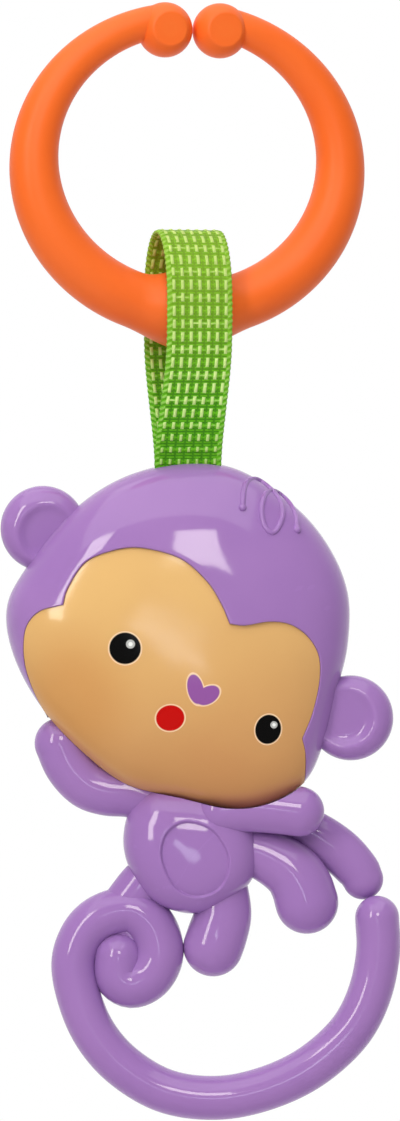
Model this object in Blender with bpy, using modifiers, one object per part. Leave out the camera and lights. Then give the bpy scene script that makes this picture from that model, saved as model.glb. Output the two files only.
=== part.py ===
"""Hanging baby rattle: a glossy monkey on a webbing loop and a split ring.

The object hangs in metres, with +Z up, +X to the right and its front facing -Y.
Its origin is the point under the two knobs where the ring hangs on a rail.
"""

import math

import bmesh
import bpy
import numpy as np
from mathutils import Matrix, Vector

MM = 0.001

# Fits between pieces
GAP = 0.3 * MM
OVERRUN = 2.0 * MM
WELD = 0.02 * MM
FAR = 60.0 * MM
WALL = 1.8 * MM
HOOD_WALL = 1.6 * MM

# Split ring
RING_HALF_WIDTH = 30.1 * MM
RING_HALF_HEIGHT = 27.6 * MM
RING_YAW = math.radians(15)
TUBE_TOP_R = 3.15 * MM
TUBE_SIDE_R = 4.65 * MM
TUBE_BOTTOM_R = 5.4 * MM
KNOB_R = 5.25 * MM
KNOB_FACE_R = 3.2 * MM
KNOB_DROP = 1.7 * MM
SPLIT_X = 0.9 * MM
KNUCKLE_R = 7.8 * MM
KNUCKLE_HALF_LENGTH = 11.0 * MM

# Webbing loop and the pin that holds it
STRAP_WIDTH = 12.7 * MM
STRAP_THICKNESS = 1.2 * MM
STRAP_SLACK = 6.3 * MM
STRAP_DROP = 29.2 * MM
STRAP_UNTWIST = 0.8
STRAP_BEND_RISE = 2.0 * MM
STRAP_TAPER = ((1.0, 0.09), (0.92, 0.36), (0.64, 0.70))
PIN_R = 1.5 * MM
PIN_LENGTH = 19.0 * MM
PIN_DEPTH = 5.6 * MM
PIN_EDGE = 0.3 * MM
SADDLE_LENGTH = 4.0 * MM
SADDLE_HALF_WIDTH = 3.0 * MM

# The figure stands this far behind the pin, so that it hangs upright
FIGURE_Y = 0.0 * MM

# Head
HEAD_X = -1.5 * MM
HEAD_WIDTH = 65.3 * MM
HEAD_HEIGHT = 65.6 * MM
HEAD_FRONT_DEPTH = 13.5 * MM
HEAD_BACK_DEPTH = 10.5 * MM
HEAD_FULLNESS = 2.6
BACK_FLAT_SHARE = 0.5
FACE_RECESS = 0.9 * MM
FACE_WALL = 2.0 * MM
EAR_R = 8.1 * MM
EAR_HALF_DEPTH = 4.8 * MM
EAR_DISH_R = 5.0 * MM
EAR_DISH_DEPTH = 1.7 * MM
EAR_DISH_SHIFT = 1.2 * MM
LEFT_EAR_ANGLE = math.radians(142.4)
LEFT_EAR_OUT = 1.8 * MM
RIGHT_EAR_ANGLE = math.radians(-26.2)
RIGHT_EAR_OUT = 3.8 * MM
CURL_RADII = (0.45 * MM, 0.5 * MM)
CURL_JOINT = 6

# Rattle chamber and its beads
CHAMBER_R = 13.5 * MM
CHAMBER_WALL = 1.2 * MM
BEAD_R = 2.4 * MM
BEAD_PITCH = 5.4 * MM
BEAD_ROW_Y = 3.0 * MM

# Torso
TORSO_X = 0.6 * MM
TORSO_DROP = 11.5 * MM
TORSO_WIDTH = 25.6 * MM
TORSO_HEIGHT = 24.3 * MM
TORSO_FRONT_DEPTH = 8.0 * MM
TORSO_BACK_DEPTH = 8.0 * MM
TORSO_FULLNESS = 2.7
BELLY_WIDTH = 12.8 * MM
BELLY_HEIGHT = 14.2 * MM
BELLY_RECESS = 0.5 * MM
NECK_R = 6.5 * MM

# Limbs and tail
ARM_R = 4.85 * MM
RIGHT_ARM_Y = -4.4 * MM
LEG_A_R = 6.0 * MM
LEG_B_R = 3.95 * MM
LEG_C_R = 5.7 * MM
LIMB_FLATNESS = 0.82
COIL_FLATNESS = 0.98
TAIL_R = 4.2 * MM
COIL_R = 4.5 * MM
TAIL_X = 4.6 * MM
TAIL_DROP = 19.4 * MM
TAIL_WIDTH = 58.0 * MM
TAIL_HEIGHT = 35.7 * MM
STUB_R = 4.4 * MM
HUB_R = 5.5 * MM
HUB_HALF_THICKNESS = 1.8 * MM

# Screws from the back
SCREW_R = 1.3 * MM
SCREW_HEAD_R = 2.5 * MM
SCREW_HEAD_HEIGHT = 1.7 * MM
SCREW_SEAT_Y = 3.5 * MM
SCREW_REACH = 5.5 * MM
POST_R = 3.2 * MM
POST_LENGTH = 14.0 * MM
POCKET_WALL = 1.2 * MM
RECESS_HALF_LENGTH = 1.4 * MM
RECESS_HALF_WIDTH = 0.35 * MM
RECESS_DEPTH = 0.9 * MM

# Facet counts
LOOP_POINTS = 44
DOME_STEPS = 7
ROUND_SIDES = 20
LIMB_SIDES = 14
RING_SIDES = 16
RING_STEPS = 60
BEAD_SIDES = 12
CAP_ANGLES = (20.0, 40.0, 58.0, 75.0)
INNER_SHARE = 0.6
LIMB_SPACING = 2.8 * MM
COIL_SPACING = 2.0 * MM
PIN_SIDES = 20
CHAMBER_SIDES = 32
BELLY_POINTS = 32
KNOB_STEPS = 6
CURL_DENSITY = 0.8
CURL_SIDES = 6
EAR_SIDES = 20
SMALL_SIDES = 12

# Outlines and centrelines, in millimetres from the centre of their own piece
HEAD_SHAPE = (
    (-0.4, 32.5), (10.6, 31.5), (21.5, 24.7), (28.3, 16.9), (32.1, 7.8), (32.1, -2.1),
    (30.0, -11.0), (27.4, -21.1), (23.9, -28.1), (17.1, -32.1), (9.5, -33.1), (0.4, -31.2),
    (-10.4, -28.5), (-19.4, -21.7), (-27.0, -13.3), (-31.9, -4.0), (-33.2, 4.6),
    (-30.0, 11.8), (-21.7, 22.4), (-11.8, 29.4),
)
FACE_LEFT_CHEEK = (
    (-25.3, -16.0), (-27.7, -11.4), (-29.4, -6.5), (-29.8, -2.1), (-29.1, 1.7),
    (-26.6, 4.4), (-22.2, 5.6),
)
FACE_BROW = (
    (-22.2, 5.6), (-21.3, 8.7), (-18.1, 13.5), (-13.3, 15.7), (-7.6, 16.4), (0.0, 14.4),
    (5.1, 10.1), (7.8, 5.9), (9.5, 2.0),
)
FACE_RIGHT_CHEEK = (
    (9.5, 2.0), (12.4, 1.7), (16.9, 2.4), (20.9, 1.9), (24.3, -0.4), (26.4, -4.0),
    (26.6, -8.7), (25.3, -14.8), (23.3, -19.8),
)
FACE_RIGHT_JAW = ((23.3, -19.8), (23.9, -22.6), (23.9, -26.8), (23.6, -30.0))
FACE_OPEN_BOTTOM = ((23.6, -42.0), (-34.0, -42.0), (-34.0, -19.0))
FLANGE_SHAPE = (
    (-31.5, -2.0), (-30.5, 4.0), (-25.5, 9.5), (-20.0, 16.0), (-13.0, 18.5), (-4.0, 18.5),
    (4.0, 15.0), (11.0, 8.0), (19.0, 5.0), (26.0, 2.0), (30.0, -6.0), (28.0, -16.0),
    (27.0, -30.0), (14.0, -38.0), (-8.0, -38.0), (-24.0, -26.0), (-30.0, -12.0),
)
HAIR_CURL = (
    (11.0, 22.2), (11.3, 26.0), (12.6, 27.6), (15.3, 26.9), (17.8, 24.6), (18.7, 21.0),
    (17.1, 17.5), (15.1, 18.8), (14.8, 22.4), (16.4, 25.6), (19.0, 25.0), (20.8, 22.3),
    (21.4, 18.0),
)
TORSO_SHAPE = (
    (-5.9, 13.7), (-11.2, 9.9), (-12.9, 4.2), (-12.0, -1.5), (-8.6, -7.2), (-3.6, -10.1),
    (2.1, -10.6), (7.8, -7.8), (11.6, -4.2), (12.7, 1.1), (11.2, 6.8), (5.9, 12.5),
)
BELLY_SHAPE = (
    (-0.8, 7.0), (4.2, 5.3), (7.2, 0.2), (5.9, -5.1), (1.5, -7.2), (-3.0, -5.4),
    (-5.6, 0.2), (-4.6, 4.9),
)
TAIL_PATH = (
    (30.8, 6.7), (31.0, 0.9), (29.6, -5.7), (26.6, -12.2), (22.0, -17.3), (16.1, -21.5),
    (8.9, -24.5), (1.3, -26.0), (-6.7, -25.5), (-13.3, -23.0), (-19.9, -17.9),
    (-24.5, -11.0), (-27.0, -1.9), (-25.6, 4.2), (-21.9, 8.2), (-16.1, 9.7),
    (-11.8, 6.5), (-10.5, 1.3),
)

# Centrelines with the share of the limb's radius at each point
LEFT_ARM = (
    (-24.9, 21.7, 1.0), (-23.0, 17.5, 1.0), (-19.8, 14.1, 1.0), (-16.1, 12.7, 0.98),
    (-11.6, 12.2, 0.95), (-6.8, 10.6, 0.9),
)
RIGHT_ARM = ((5.5, 9.0, 0.9), (10.8, 9.6, 0.95), (15.4, 9.5, 0.98), (20.5, 8.9, 0.98))
LEG_A = (
    (4.0, 2.4, 0.72), (11.6, 0.9, 0.8), (17.1, -1.3, 0.93), (20.5, -4.9, 1.0), (21.8, -8.4, 1.0),
)
LEG_B = (
    (5.0, 4.6, 0.75), (17.9, 6.7, 0.85), (23.0, 5.5, 0.9), (28.5, 1.9, 0.98),
    (31.7, -2.1, 1.0), (32.7, -4.2, 1.0),
)
LEG_C = ((5.0, -0.5, 0.85), (6.5, -8.0, 0.97), (5.4, -13.0, 1.0), (4.6, -16.9, 1.0))
COIL = (
    (-10.5, 1.3, 0.94), (-12.3, -2.9, 0.96), (-15.8, -4.6, 0.98), (-18.3, -3.0, 1.0),
    (-18.6, 0.4, 1.0),
)
STUB = ((-12.8, -9.4, 1.0), (-8.5, -4.2, 1.0), (-3.5, -1.0, 0.9))
NECK = ((0.0, 4.0, 1.0), (-1.0, 12.0, 1.0), (-1.5, 20.0, 0.9))
HEAD_SCREWS = ((-13.6, 22.6), (21.0, 13.0), (-19.0, -12.0), (18.0, -15.0))
TORSO_SCREWS = ((-6.0, 7.2), (0.0, -1.0))


def clear_scene():
    for obj in list(bpy.data.objects):
        bpy.data.objects.remove(obj, do_unlink=True)


def new_collection(name):
    made = bpy.data.collections.new(name)
    bpy.context.scene.collection.children.link(made)
    return made


def material(name, colour, roughness, metallic=0.0):
    made = bpy.data.materials.new(name)
    made.use_nodes = True
    shader = made.node_tree.nodes["Principled BSDF"]
    shader.inputs["Base Color"].default_value = (*colour, 1.0)
    shader.inputs["Roughness"].default_value = roughness
    shader.inputs["Metallic"].default_value = metallic
    return made


def smooth(points, per_span, closed=False):
    """Points along a Catmull-Rom curve through the given ones."""
    given = np.asarray(points, float)
    if closed:
        ends = np.vstack([given[-1:], given, given[:2]])
        spans = len(given)
    else:
        ends = np.vstack([2 * given[0] - given[1], given, 2 * given[-1] - given[-2]])
        spans = len(given) - 1
    t = np.arange(per_span)[:, None] / per_span
    rows = []
    for k in range(spans):
        a, b, c, d = ends[k : k + 4]
        bend = (2 * a - 5 * b + 4 * c - d) * t**2 + (3 * b - a - 3 * c + d) * t**3
        rows.append(0.5 * (2 * b + (c - a) * t + bend))
    if not closed:
        rows.append(given[-1:])
    return np.vstack(rows)


def even(points, count, closed=False):
    """The same line with its points spread evenly along its length."""
    line = np.vstack([points, points[:1]]) if closed else points
    steps = np.linalg.norm(np.diff(line[:, :2], axis=0), axis=1)
    along = np.concatenate([[0], np.cumsum(steps)])
    wanted = np.linspace(0, along[-1], count + 1 if closed else count)
    spread = np.stack([np.interp(wanted, along, column) for column in line.T], axis=1)
    return spread[:-1] if closed else spread


def shape_scale(shape, width, height, closed=True):
    """The two factors that give a drawn shape its real width and height."""
    drawn = smooth(shape, 8, closed)
    return np.array([width, height]) / (drawn.max(axis=0) - drawn.min(axis=0))


def outline(shape, width, height):
    scale = shape_scale(shape, width, height)
    return even(smooth(shape, 8, closed=True) * scale, LOOP_POINTS, closed=True)


def inset_loop(loop, distance):
    """The loop moved inwards by a distance, or outwards by a negative one."""
    ahead = np.roll(loop, -1, axis=0) - np.roll(loop, 1, axis=0)
    outward = np.stack([ahead[:, 1], -ahead[:, 0]], axis=1)
    outward /= np.linalg.norm(outward, axis=1)[:, None]
    after = np.roll(loop, -1, axis=0)
    area = np.sum(loop[:, 0] * after[:, 1] - after[:, 0] * loop[:, 1])
    return loop - outward * math.copysign(1.0, area) * distance


def reach(loop, angle):
    """How far a loop lies from its own centre in one direction."""
    angles = np.arctan2(loop[:, 1], loop[:, 0])
    order = np.argsort(angles)
    lengths = np.linalg.norm(loop, axis=1)
    return float(np.interp(angle, angles[order], lengths[order], period=2 * math.pi))


def add_object(name, mesh, look=None, frame="figure_pivot"):
    """A part when it has a look, or else a hidden cutter."""
    mesh.name = name
    obj = bpy.data.objects.new(name, mesh)
    if look:
        bpy.data.collections["hanging_baby_rattle"].objects.link(obj)
        mesh.materials.clear()
        mesh.materials.append(bpy.data.materials[look])
    else:
        bpy.data.collections["cutters"].objects.link(obj)
        obj.hide_render = True
        obj.display_type = "WIRE"
    if frame:
        obj.parent = bpy.data.objects[frame]
        if frame == "figure_pivot":
            obj.location = (0.0, FIGURE_Y, -obj.parent.location.z)
    mesh.shade_smooth()
    mesh.set_sharp_from_angle(angle=math.radians(32))
    return obj


def boolean(target, operation, *tools):
    for tool in tools:
        modifier = target.modifiers.new(f"{operation.lower()} {tool.name}", "BOOLEAN")
        modifier.object = tool
        modifier.operation = operation
        modifier.solver = "EXACT"


def mesh_from(build):
    """A mesh filled by a function that works on a bmesh, with its faces turned outwards."""
    made = bmesh.new()
    build(made)
    bmesh.ops.recalc_face_normals(made, faces=made.faces)
    mesh = bpy.data.meshes.new("mesh")
    made.to_mesh(mesh)
    made.free()
    return mesh


def mesh_of_curve(curve):
    """The mesh of a curve with its caps welded; the curve object is removed."""
    obj = bpy.data.objects.new("guide", curve)
    bpy.context.scene.collection.objects.link(obj)
    graph = bpy.context.evaluated_depsgraph_get()
    mesh = bpy.data.meshes.new_from_object(obj.evaluated_get(graph))
    bpy.data.objects.remove(obj)
    work = bmesh.new()
    work.from_mesh(mesh)
    bmesh.ops.remove_doubles(work, verts=work.verts, dist=WELD)
    bmesh.ops.recalc_face_normals(work, faces=work.faces)
    work.to_mesh(mesh)
    work.free()
    return mesh


def dome(name, loop, centre, depth, side, fullness, look=None, inset=0.0, flat=0.0):
    """A closed dome of shrinking outlines, with a short straight skirt past the parting plane."""
    ring = inset_loop(loop, inset)
    height = depth - inset
    rows = [(1.0, -side * OVERRUN)]
    for k in range(DOME_STEPS):
        t = 0.5 * math.pi * k / DOME_STEPS
        share = flat + (1 - flat) * math.cos(t) ** (2 / fullness)
        rows.append((share, side * height * math.sin(t) ** (2 / fullness)))
    if flat:
        rows.append((flat, side * height))

    def build(made):
        made_rows = []
        for share, y in rows:
            spots = [(centre[0] + x * share, y, centre[1] + z * share) for x, z in ring]
            made_rows.append([made.verts.new(spot) for spot in spots])
        count = len(ring)
        for low, high in zip(made_rows, made_rows[1:]):
            for i in range(count):
                j = (i + 1) % count
                made.faces.new((low[i], low[j], high[j], high[i]))
        made.faces.new(made_rows[0])
        if flat:
            made.faces.new(made_rows[-1])
            return
        crown = made.verts.new((centre[0], side * height, centre[1]))
        for i in range(count):
            made.faces.new((made_rows[-1][i], made_rows[-1][(i + 1) % count], crown))

    return add_object(name, mesh_from(build), look)


def prism(name, loop, centre, low_y, high_y):
    """A flat outline in the XZ plane, made solid between two depths."""
    curve = bpy.data.curves.new(name, "CURVE")
    curve.dimensions = "2D"
    curve.fill_mode = "BOTH"
    curve.extrude = (high_y - low_y) / 2
    spline = curve.splines.new("POLY")
    spline.points.add(len(loop) - 1)
    for point, (x, z) in zip(spline.points, loop):
        point.co = (x, z, 0.0, 1.0)
    spline.use_cyclic_u = True
    mesh = mesh_of_curve(curve)
    turn = Matrix.Rotation(math.radians(90), 4, "X")
    place = Matrix.Translation((centre[0], (low_y + high_y) / 2, centre[1]))
    mesh.transform(place @ turn)
    return add_object(name, mesh)


def tube_mesh(path, radii, sides, flatness=1.0):
    """A tube with half-round ends; its inner side stops short of a bend's own centre."""
    spots = np.asarray(path, float)
    ahead = np.gradient(spots, axis=0)
    steps = np.linalg.norm(ahead, axis=1)
    ahead[:, 1] = 0.0
    ahead /= np.linalg.norm(ahead, axis=1)[:, None]
    heading = np.unwrap(np.arctan2(ahead[:, 2], ahead[:, 0]))
    bend = np.gradient(heading) / steps
    bend[0], bend[-1] = bend[1], bend[-2]
    last = len(spots) - 1
    turns = np.radians(CAP_ANGLES)
    rows = []
    for a in turns[::-1]:
        rows.append((0, spots[0] - ahead[0] * radii[0] * math.sin(a), radii[0] * math.cos(a)))
    rows += [(k, spots[k], radii[k]) for k in range(last + 1)]
    for a in turns:
        spot = spots[last] + ahead[last] * radii[last] * math.sin(a)
        rows.append((last, spot, radii[last] * math.cos(a)))
    around = np.linspace(0, 2 * math.pi, sides, endpoint=False)

    def build(made):
        made_rows = []
        for k, spot, radius in rows:
            side = np.array([-ahead[k, 2], 0.0, ahead[k, 0]])
            sideways = radius * np.cos(around)
            room = INNER_SHARE / max(abs(bend[k]), WELD)
            sideways = np.minimum(sideways, room) if bend[k] > 0 else np.maximum(sideways, -room)
            deep = radius * np.sin(around) * flatness
            ring = [spot + side * s + np.array([0.0, d, 0.0]) for s, d in zip(sideways, deep)]
            made_rows.append([made.verts.new(vertex) for vertex in ring])
        for low, high in zip(made_rows, made_rows[1:]):
            for i in range(sides):
                j = (i + 1) % sides
                made.faces.new((low[i], low[j], high[j], high[i]))
        made.faces.new(made_rows[0])
        made.faces.new(made_rows[-1])

    return mesh_from(build)


def limb(name, shape, radius, centre, y=0.0, flatness=LIMB_FLATNESS, grow=0.0, gap=LIMB_SPACING):
    """A rounded limb along a centreline of x, z and share of the radius."""
    rows = smooth(shape, 6)
    rows[:, :2] *= MM
    length = np.linalg.norm(np.diff(rows[:, :2], axis=0), axis=1).sum()
    rows = even(rows, max(4, round(length / gap)))
    path = [(centre[0] + x, y, centre[1] + z) for x, z, _ in rows]
    radii = [share * radius + grow for _, _, share in rows]
    return add_object(name, tube_mesh(path, radii, LIMB_SIDES, flatness))


def rod(name, radius, low_y, high_y, spot, look=None, sides=ROUND_SIDES):
    """A round bar along Y."""
    length = high_y - low_y
    turn = Matrix.Rotation(math.radians(90), 4, "X")
    place = Matrix.Translation((spot[0], (low_y + high_y) / 2, spot[1]))

    def build(made):
        bmesh.ops.create_cone(
            made, cap_ends=True, segments=sides, radius1=radius, radius2=radius,
            depth=length, matrix=place @ turn,
        )

    return add_object(name, mesh_from(build), look)


def block(name, low, high):
    """A box between two corners."""
    size = Vector(high) - Vector(low)
    middle = (Vector(high) + Vector(low)) / 2
    place = Matrix.Translation(middle) @ Matrix.Diagonal((*size, 1.0))
    return add_object(name, mesh_from(lambda made: bmesh.ops.create_cube(made, matrix=place)))


def ball(name, centre, radii, look=None, sides=20, frame="figure_pivot"):
    """A ball or ellipsoid whose poles lie along Y."""
    turn = Matrix.Rotation(math.radians(90), 4, "X")
    place = Matrix.Translation(centre) @ Matrix.Diagonal((*radii, 1.0)) @ turn

    def build(made):
        bmesh.ops.create_uvsphere(
            made, u_segments=sides, v_segments=sides // 2, radius=1.0, matrix=place
        )

    return add_object(name, mesh_from(build), look, frame)


def turned(name, profile, spot, look=None, steps=ROUND_SIDES, frame="figure_pivot"):
    """A profile of radius and height, listed from the top down, turned about Y."""
    mesh = bpy.data.meshes.new(name)
    points = [(radius, 0.0, height) for radius, height in profile]
    mesh.from_pydata(points, [(i, i + 1) for i in range(len(points) - 1)], [])
    obj = add_object(name, mesh, look, frame)
    obj.location = Vector(obj.location) + Vector(spot)
    obj.rotation_euler = (math.radians(-90), 0.0, 0.0)
    screw = obj.modifiers.new("turn", "SCREW")
    screw.steps = steps
    screw.render_steps = steps
    screw.use_merge_vertices = True
    screw.merge_threshold = WELD
    screw.use_smooth_shade = True
    return obj


def ring_centre_z():
    share = (KNOB_R + GAP / 2) / RING_HALF_WIDTH
    return KNOB_R + KNOB_DROP - RING_HALF_HEIGHT * math.sqrt(1 - share**2)


def knuckle_z():
    return ring_centre_z() - RING_HALF_HEIGHT


def head_top_z():
    return knuckle_z() - STRAP_DROP


def pin_z():
    return head_top_z() - PIN_DEPTH


def head_loop():
    return outline(HEAD_SHAPE, HEAD_WIDTH, HEAD_HEIGHT)


def head_centre():
    loop = head_loop()
    return HEAD_X, head_top_z() - reach(loop, math.radians(90))


def head_scale():
    return shape_scale(HEAD_SHAPE, HEAD_WIDTH, HEAD_HEIGHT)


def torso_centre():
    chin = reach(head_loop(), math.radians(-90))
    return TORSO_X, head_centre()[1] - chin - TORSO_DROP


def torso_loop():
    return outline(TORSO_SHAPE, TORSO_WIDTH, TORSO_HEIGHT)


def knob_spots():
    step = KNOB_R + GAP / 2
    return (SPLIT_X - step, KNOB_R), (SPLIT_X + step, KNOB_R)


def tube_radius(x, angle):
    """Thin at the knobs, thick at the bottom, with the knuckle's swelling under the strap."""
    low = -math.sin(angle)
    curve = (TUBE_BOTTOM_R + TUBE_TOP_R) / 2 - TUBE_SIDE_R
    radius = TUBE_SIDE_R + low * (TUBE_BOTTOM_R - TUBE_TOP_R) / 2 + low**2 * curve
    share = abs(x) / KNUCKLE_HALF_LENGTH
    if low > 0 and share < 1:
        radius += (KNUCKLE_R - radius) * math.cos(share * math.pi / 2) ** 2
    return radius


def make_ring():
    left, right = knob_spots()
    first = math.acos(right[0] / RING_HALF_WIDTH)
    last = -2 * math.pi + math.acos(left[0] / RING_HALF_WIDTH)
    path = []
    radii = []
    for angle in np.linspace(first, last, RING_STEPS):
        x = RING_HALF_WIDTH * math.cos(angle)
        path.append((x, 0.0, ring_centre_z() + RING_HALF_HEIGHT * math.sin(angle)))
        radii.append(tube_radius(x, angle))
    ring = add_object("hanging_ring", tube_mesh(path, radii, RING_SIDES), "orange", "ring_turn")
    face = math.sqrt(KNOB_R**2 - KNOB_FACE_R**2)
    start = math.asin(face / KNOB_R)
    turns = [start * (1 - k / KNOB_STEPS) for k in range(2 * KNOB_STEPS + 1)]
    profile = [(0.0, face)]
    profile += [(KNOB_R * math.cos(a), KNOB_R * math.sin(a)) for a in turns]
    profile += [(0.0, -face)]
    for side, (x, z) in zip(("left", "right"), (left, right)):
        knob = turned(f"{side}_knob", profile, (x, 0.0, z), frame="ring_turn")
        boolean(ring, "UNION", knob)


def strap_wrap():
    """The radius at which the webbing's centreline goes round the pin."""
    return PIN_R + GAP + STRAP_THICKNESS / 2


def strap_path():
    """The loop's centreline as depth and height: over the knuckle, down and round the pin."""
    half = STRAP_THICKNESS / 2
    leg = KNUCKLE_R + GAP + half
    knuckle = knuckle_z()
    bend = knuckle + STRAP_BEND_RISE
    top = knuckle + KNUCKLE_R + STRAP_SLACK + half
    wrap = strap_wrap()
    arch = [
        (leg * math.sin(a), bend + (top - bend) * math.cos(a))
        for a in np.linspace(0, math.pi / 2, 9)
    ]
    taper = [(share * leg, knuckle - fall * STRAP_DROP) for share, fall in STRAP_TAPER]
    legs = smooth([(leg, bend)] + taper + [(wrap, head_top_z()), (wrap, pin_z())], 4)
    under = [
        (wrap * math.cos(a), pin_z() - wrap * math.sin(a))
        for a in np.linspace(0, math.pi / 2, 5)
    ]
    right = arch[:-1] + [tuple(p) for p in legs[:-1]] + under
    left = [(-d, z) for d, z in right[-2:0:-1]]
    return right + left


def strap_turn(z):
    """The webbing leaves the ring turned with it and straightens towards the head."""
    share = (z - head_top_z()) / (STRAP_DROP * STRAP_UNTWIST)
    return RING_YAW * math.sin(math.pi / 2 * min(max(share, 0.0), 1.0))


def make_strap():
    curve = bpy.data.curves.new("band", "CURVE")
    curve.dimensions = "2D"
    curve.fill_mode = "NONE"
    curve.extrude = STRAP_WIDTH / 2
    path = strap_path()
    spline = curve.splines.new("POLY")
    spline.points.add(len(path) - 1)
    for point, (depth, z) in zip(spline.points, path):
        point.co = (depth, z, 0.0, 1.0)
    spline.use_cyclic_u = True
    mesh = mesh_of_curve(curve)
    for vertex in mesh.vertices:
        depth, z, across = vertex.co
        turn = strap_turn(z)
        x = across * math.cos(turn) - depth * math.sin(turn)
        y = across * math.sin(turn) + depth * math.cos(turn)
        vertex.co = (x, y, z - knuckle_z())
    strap = add_object("strap_loop", mesh, "green", "strap_pivot")
    skin = strap.modifiers.new("thickness", "SOLIDIFY")
    skin.thickness = STRAP_THICKNESS
    skin.offset = 0.0
    skin.use_even_offset = True


def make_pin():
    turn = Matrix.Rotation(math.radians(90), 4, "Y")

    def build(made):
        bmesh.ops.create_cone(
            made, cap_ends=True, segments=PIN_SIDES, radius1=PIN_R, radius2=PIN_R,
            depth=PIN_LENGTH, matrix=turn,
        )

    pin = add_object("strap_anchor_pin", mesh_from(build), "white", None)
    pin.location = (0.0, 0.0, pin_z())
    edge = pin.modifiers.new("edge", "BEVEL")
    edge.width = PIN_EDGE
    edge.segments = 1
    edge.limit_method = "ANGLE"


def face_opening():
    """The edge of the face, from its two cheeks, brow and jaw, closed below the chin."""
    scale = head_scale()
    runs = [FACE_LEFT_CHEEK, FACE_BROW, FACE_RIGHT_CHEEK, FACE_RIGHT_JAW]
    edge = np.vstack([smooth(run, 3)[:-1] for run in runs])
    return np.vstack([edge, FACE_OPEN_BOTTOM]) * scale


def make_ears(target, centre, front):
    """Both ears joined to one half of the head, with a dish in the front of each."""
    loop = head_loop()
    side = "front" if front else "back"
    ears = (
        ("left", LEFT_EAR_ANGLE, LEFT_EAR_OUT),
        ("right", RIGHT_EAR_ANGLE, RIGHT_EAR_OUT),
    )
    for name, angle, out in ears:
        away = reach(loop, angle) + out
        x = centre[0] + away * math.cos(angle)
        z = centre[1] + away * math.sin(angle)
        ear = ball(f"{name}_ear_{side}", (x, 0.0, z), (EAR_R, EAR_HALF_DEPTH, EAR_R), sides=EAR_SIDES)
        boolean(target, "UNION", ear)
        if not front:
            continue
        x -= EAR_DISH_SHIFT * math.cos(angle)
        z -= EAR_DISH_SHIFT * math.sin(angle)
        radii = (EAR_DISH_R, EAR_DISH_DEPTH, EAR_DISH_R)
        dish = ball(f"{name}_ear_dish", (x, -EAR_HALF_DEPTH, z), radii, sides=EAR_SIDES)
        boolean(target, "DIFFERENCE", dish)


def spots_from(centre, shape, scale):
    return [(centre[0] + x * scale[0], centre[1] + z * scale[1]) for x, z in shape]


def boss(name, spot, side, inner):
    """A screw post that runs from the parting plane into a dome's wall."""
    low, high = sorted((-side * OVERRUN, side * POST_LENGTH))
    post = rod(name, POST_R, low, high, spot)
    boolean(post, "INTERSECT", inner)
    return post


def pin_seat(side, half, inner):
    """Half of a seat for one end of the pin, on the front or the back of the head."""
    middle = side * (STRAP_WIDTH / 2 + 2 * GAP + SADDLE_LENGTH / 2)
    low_y, high_y = sorted((-half * OVERRUN, half * POST_LENGTH))
    low = (middle - SADDLE_LENGTH / 2, low_y, pin_z() - SADDLE_HALF_WIDTH)
    high = (middle + SADDLE_LENGTH / 2, high_y, pin_z() + SADDLE_HALF_WIDTH)
    name = f"pin_seat_{'left' if side < 0 else 'right'}_{'front' if half < 0 else 'back'}"
    seat = block(name, low, high)
    boolean(seat, "INTERSECT", inner)
    return seat


def curl(name, run, radius, loop, centre):
    """A raised line that lies half sunk in the front of the hood."""
    line = smooth(run, 5) * head_scale()
    line = even(line, round(len(line) * CURL_DENSITY))
    path = []
    for x, z in line:
        share = math.hypot(x, z) / reach(loop, math.atan2(z, x))
        depth = HEAD_FRONT_DEPTH * (1 - share**HEAD_FULLNESS) ** (1 / HEAD_FULLNESS)
        path.append((centre[0] + x, -depth, centre[1] + z))
    return add_object(name, tube_mesh(path, [radius] * len(path), CURL_SIDES))


def front_dome(name, inset, look=None):
    """The front of the head, or a smaller one inside it."""
    depth = HEAD_FRONT_DEPTH
    return dome(name, head_loop(), head_centre(), depth, -1, HEAD_FULLNESS, look, inset)


def pilot(name, spot):
    return rod(name, SCREW_R + GAP, -SCREW_REACH - GAP, GAP, spot, sides=SMALL_SIDES)


def make_hood(shared):
    loop, centre = head_loop(), head_centre()
    hood = front_dome("head_front_hood", 0.0, "purple")
    cavity = front_dome("hood_cavity", HOOD_WALL)
    inner = front_dome("hood_post_limit", HOOD_WALL / 2)
    opening = prism("face_opening", face_opening(), centre, -FAR, FAR)
    make_ears(hood, centre, True)
    boolean(hood, "DIFFERENCE", cavity, opening)
    screws = spots_from(centre, HEAD_SCREWS, head_scale())
    for k, spot in enumerate(screws[:2], 1):
        boolean(hood, "UNION", boss(f"hood_post_{k}", spot, -1, inner))
    for side in (-1, 1):
        boolean(hood, "UNION", pin_seat(side, -1, inner))
    runs = (HAIR_CURL[: CURL_JOINT + 1], HAIR_CURL[CURL_JOINT:])
    for k, (run, radius) in enumerate(zip(runs, CURL_RADII), 1):
        boolean(hood, "UNION", curl(f"hair_curl_{k}", run, radius, loop, centre))
    boolean(hood, "DIFFERENCE", shared["behind"], shared["slot"], shared["pin_bore"])
    for k, spot in enumerate(screws[:2], 1):
        boolean(hood, "DIFFERENCE", pilot(f"hood_pilot_{k}", spot))


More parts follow.
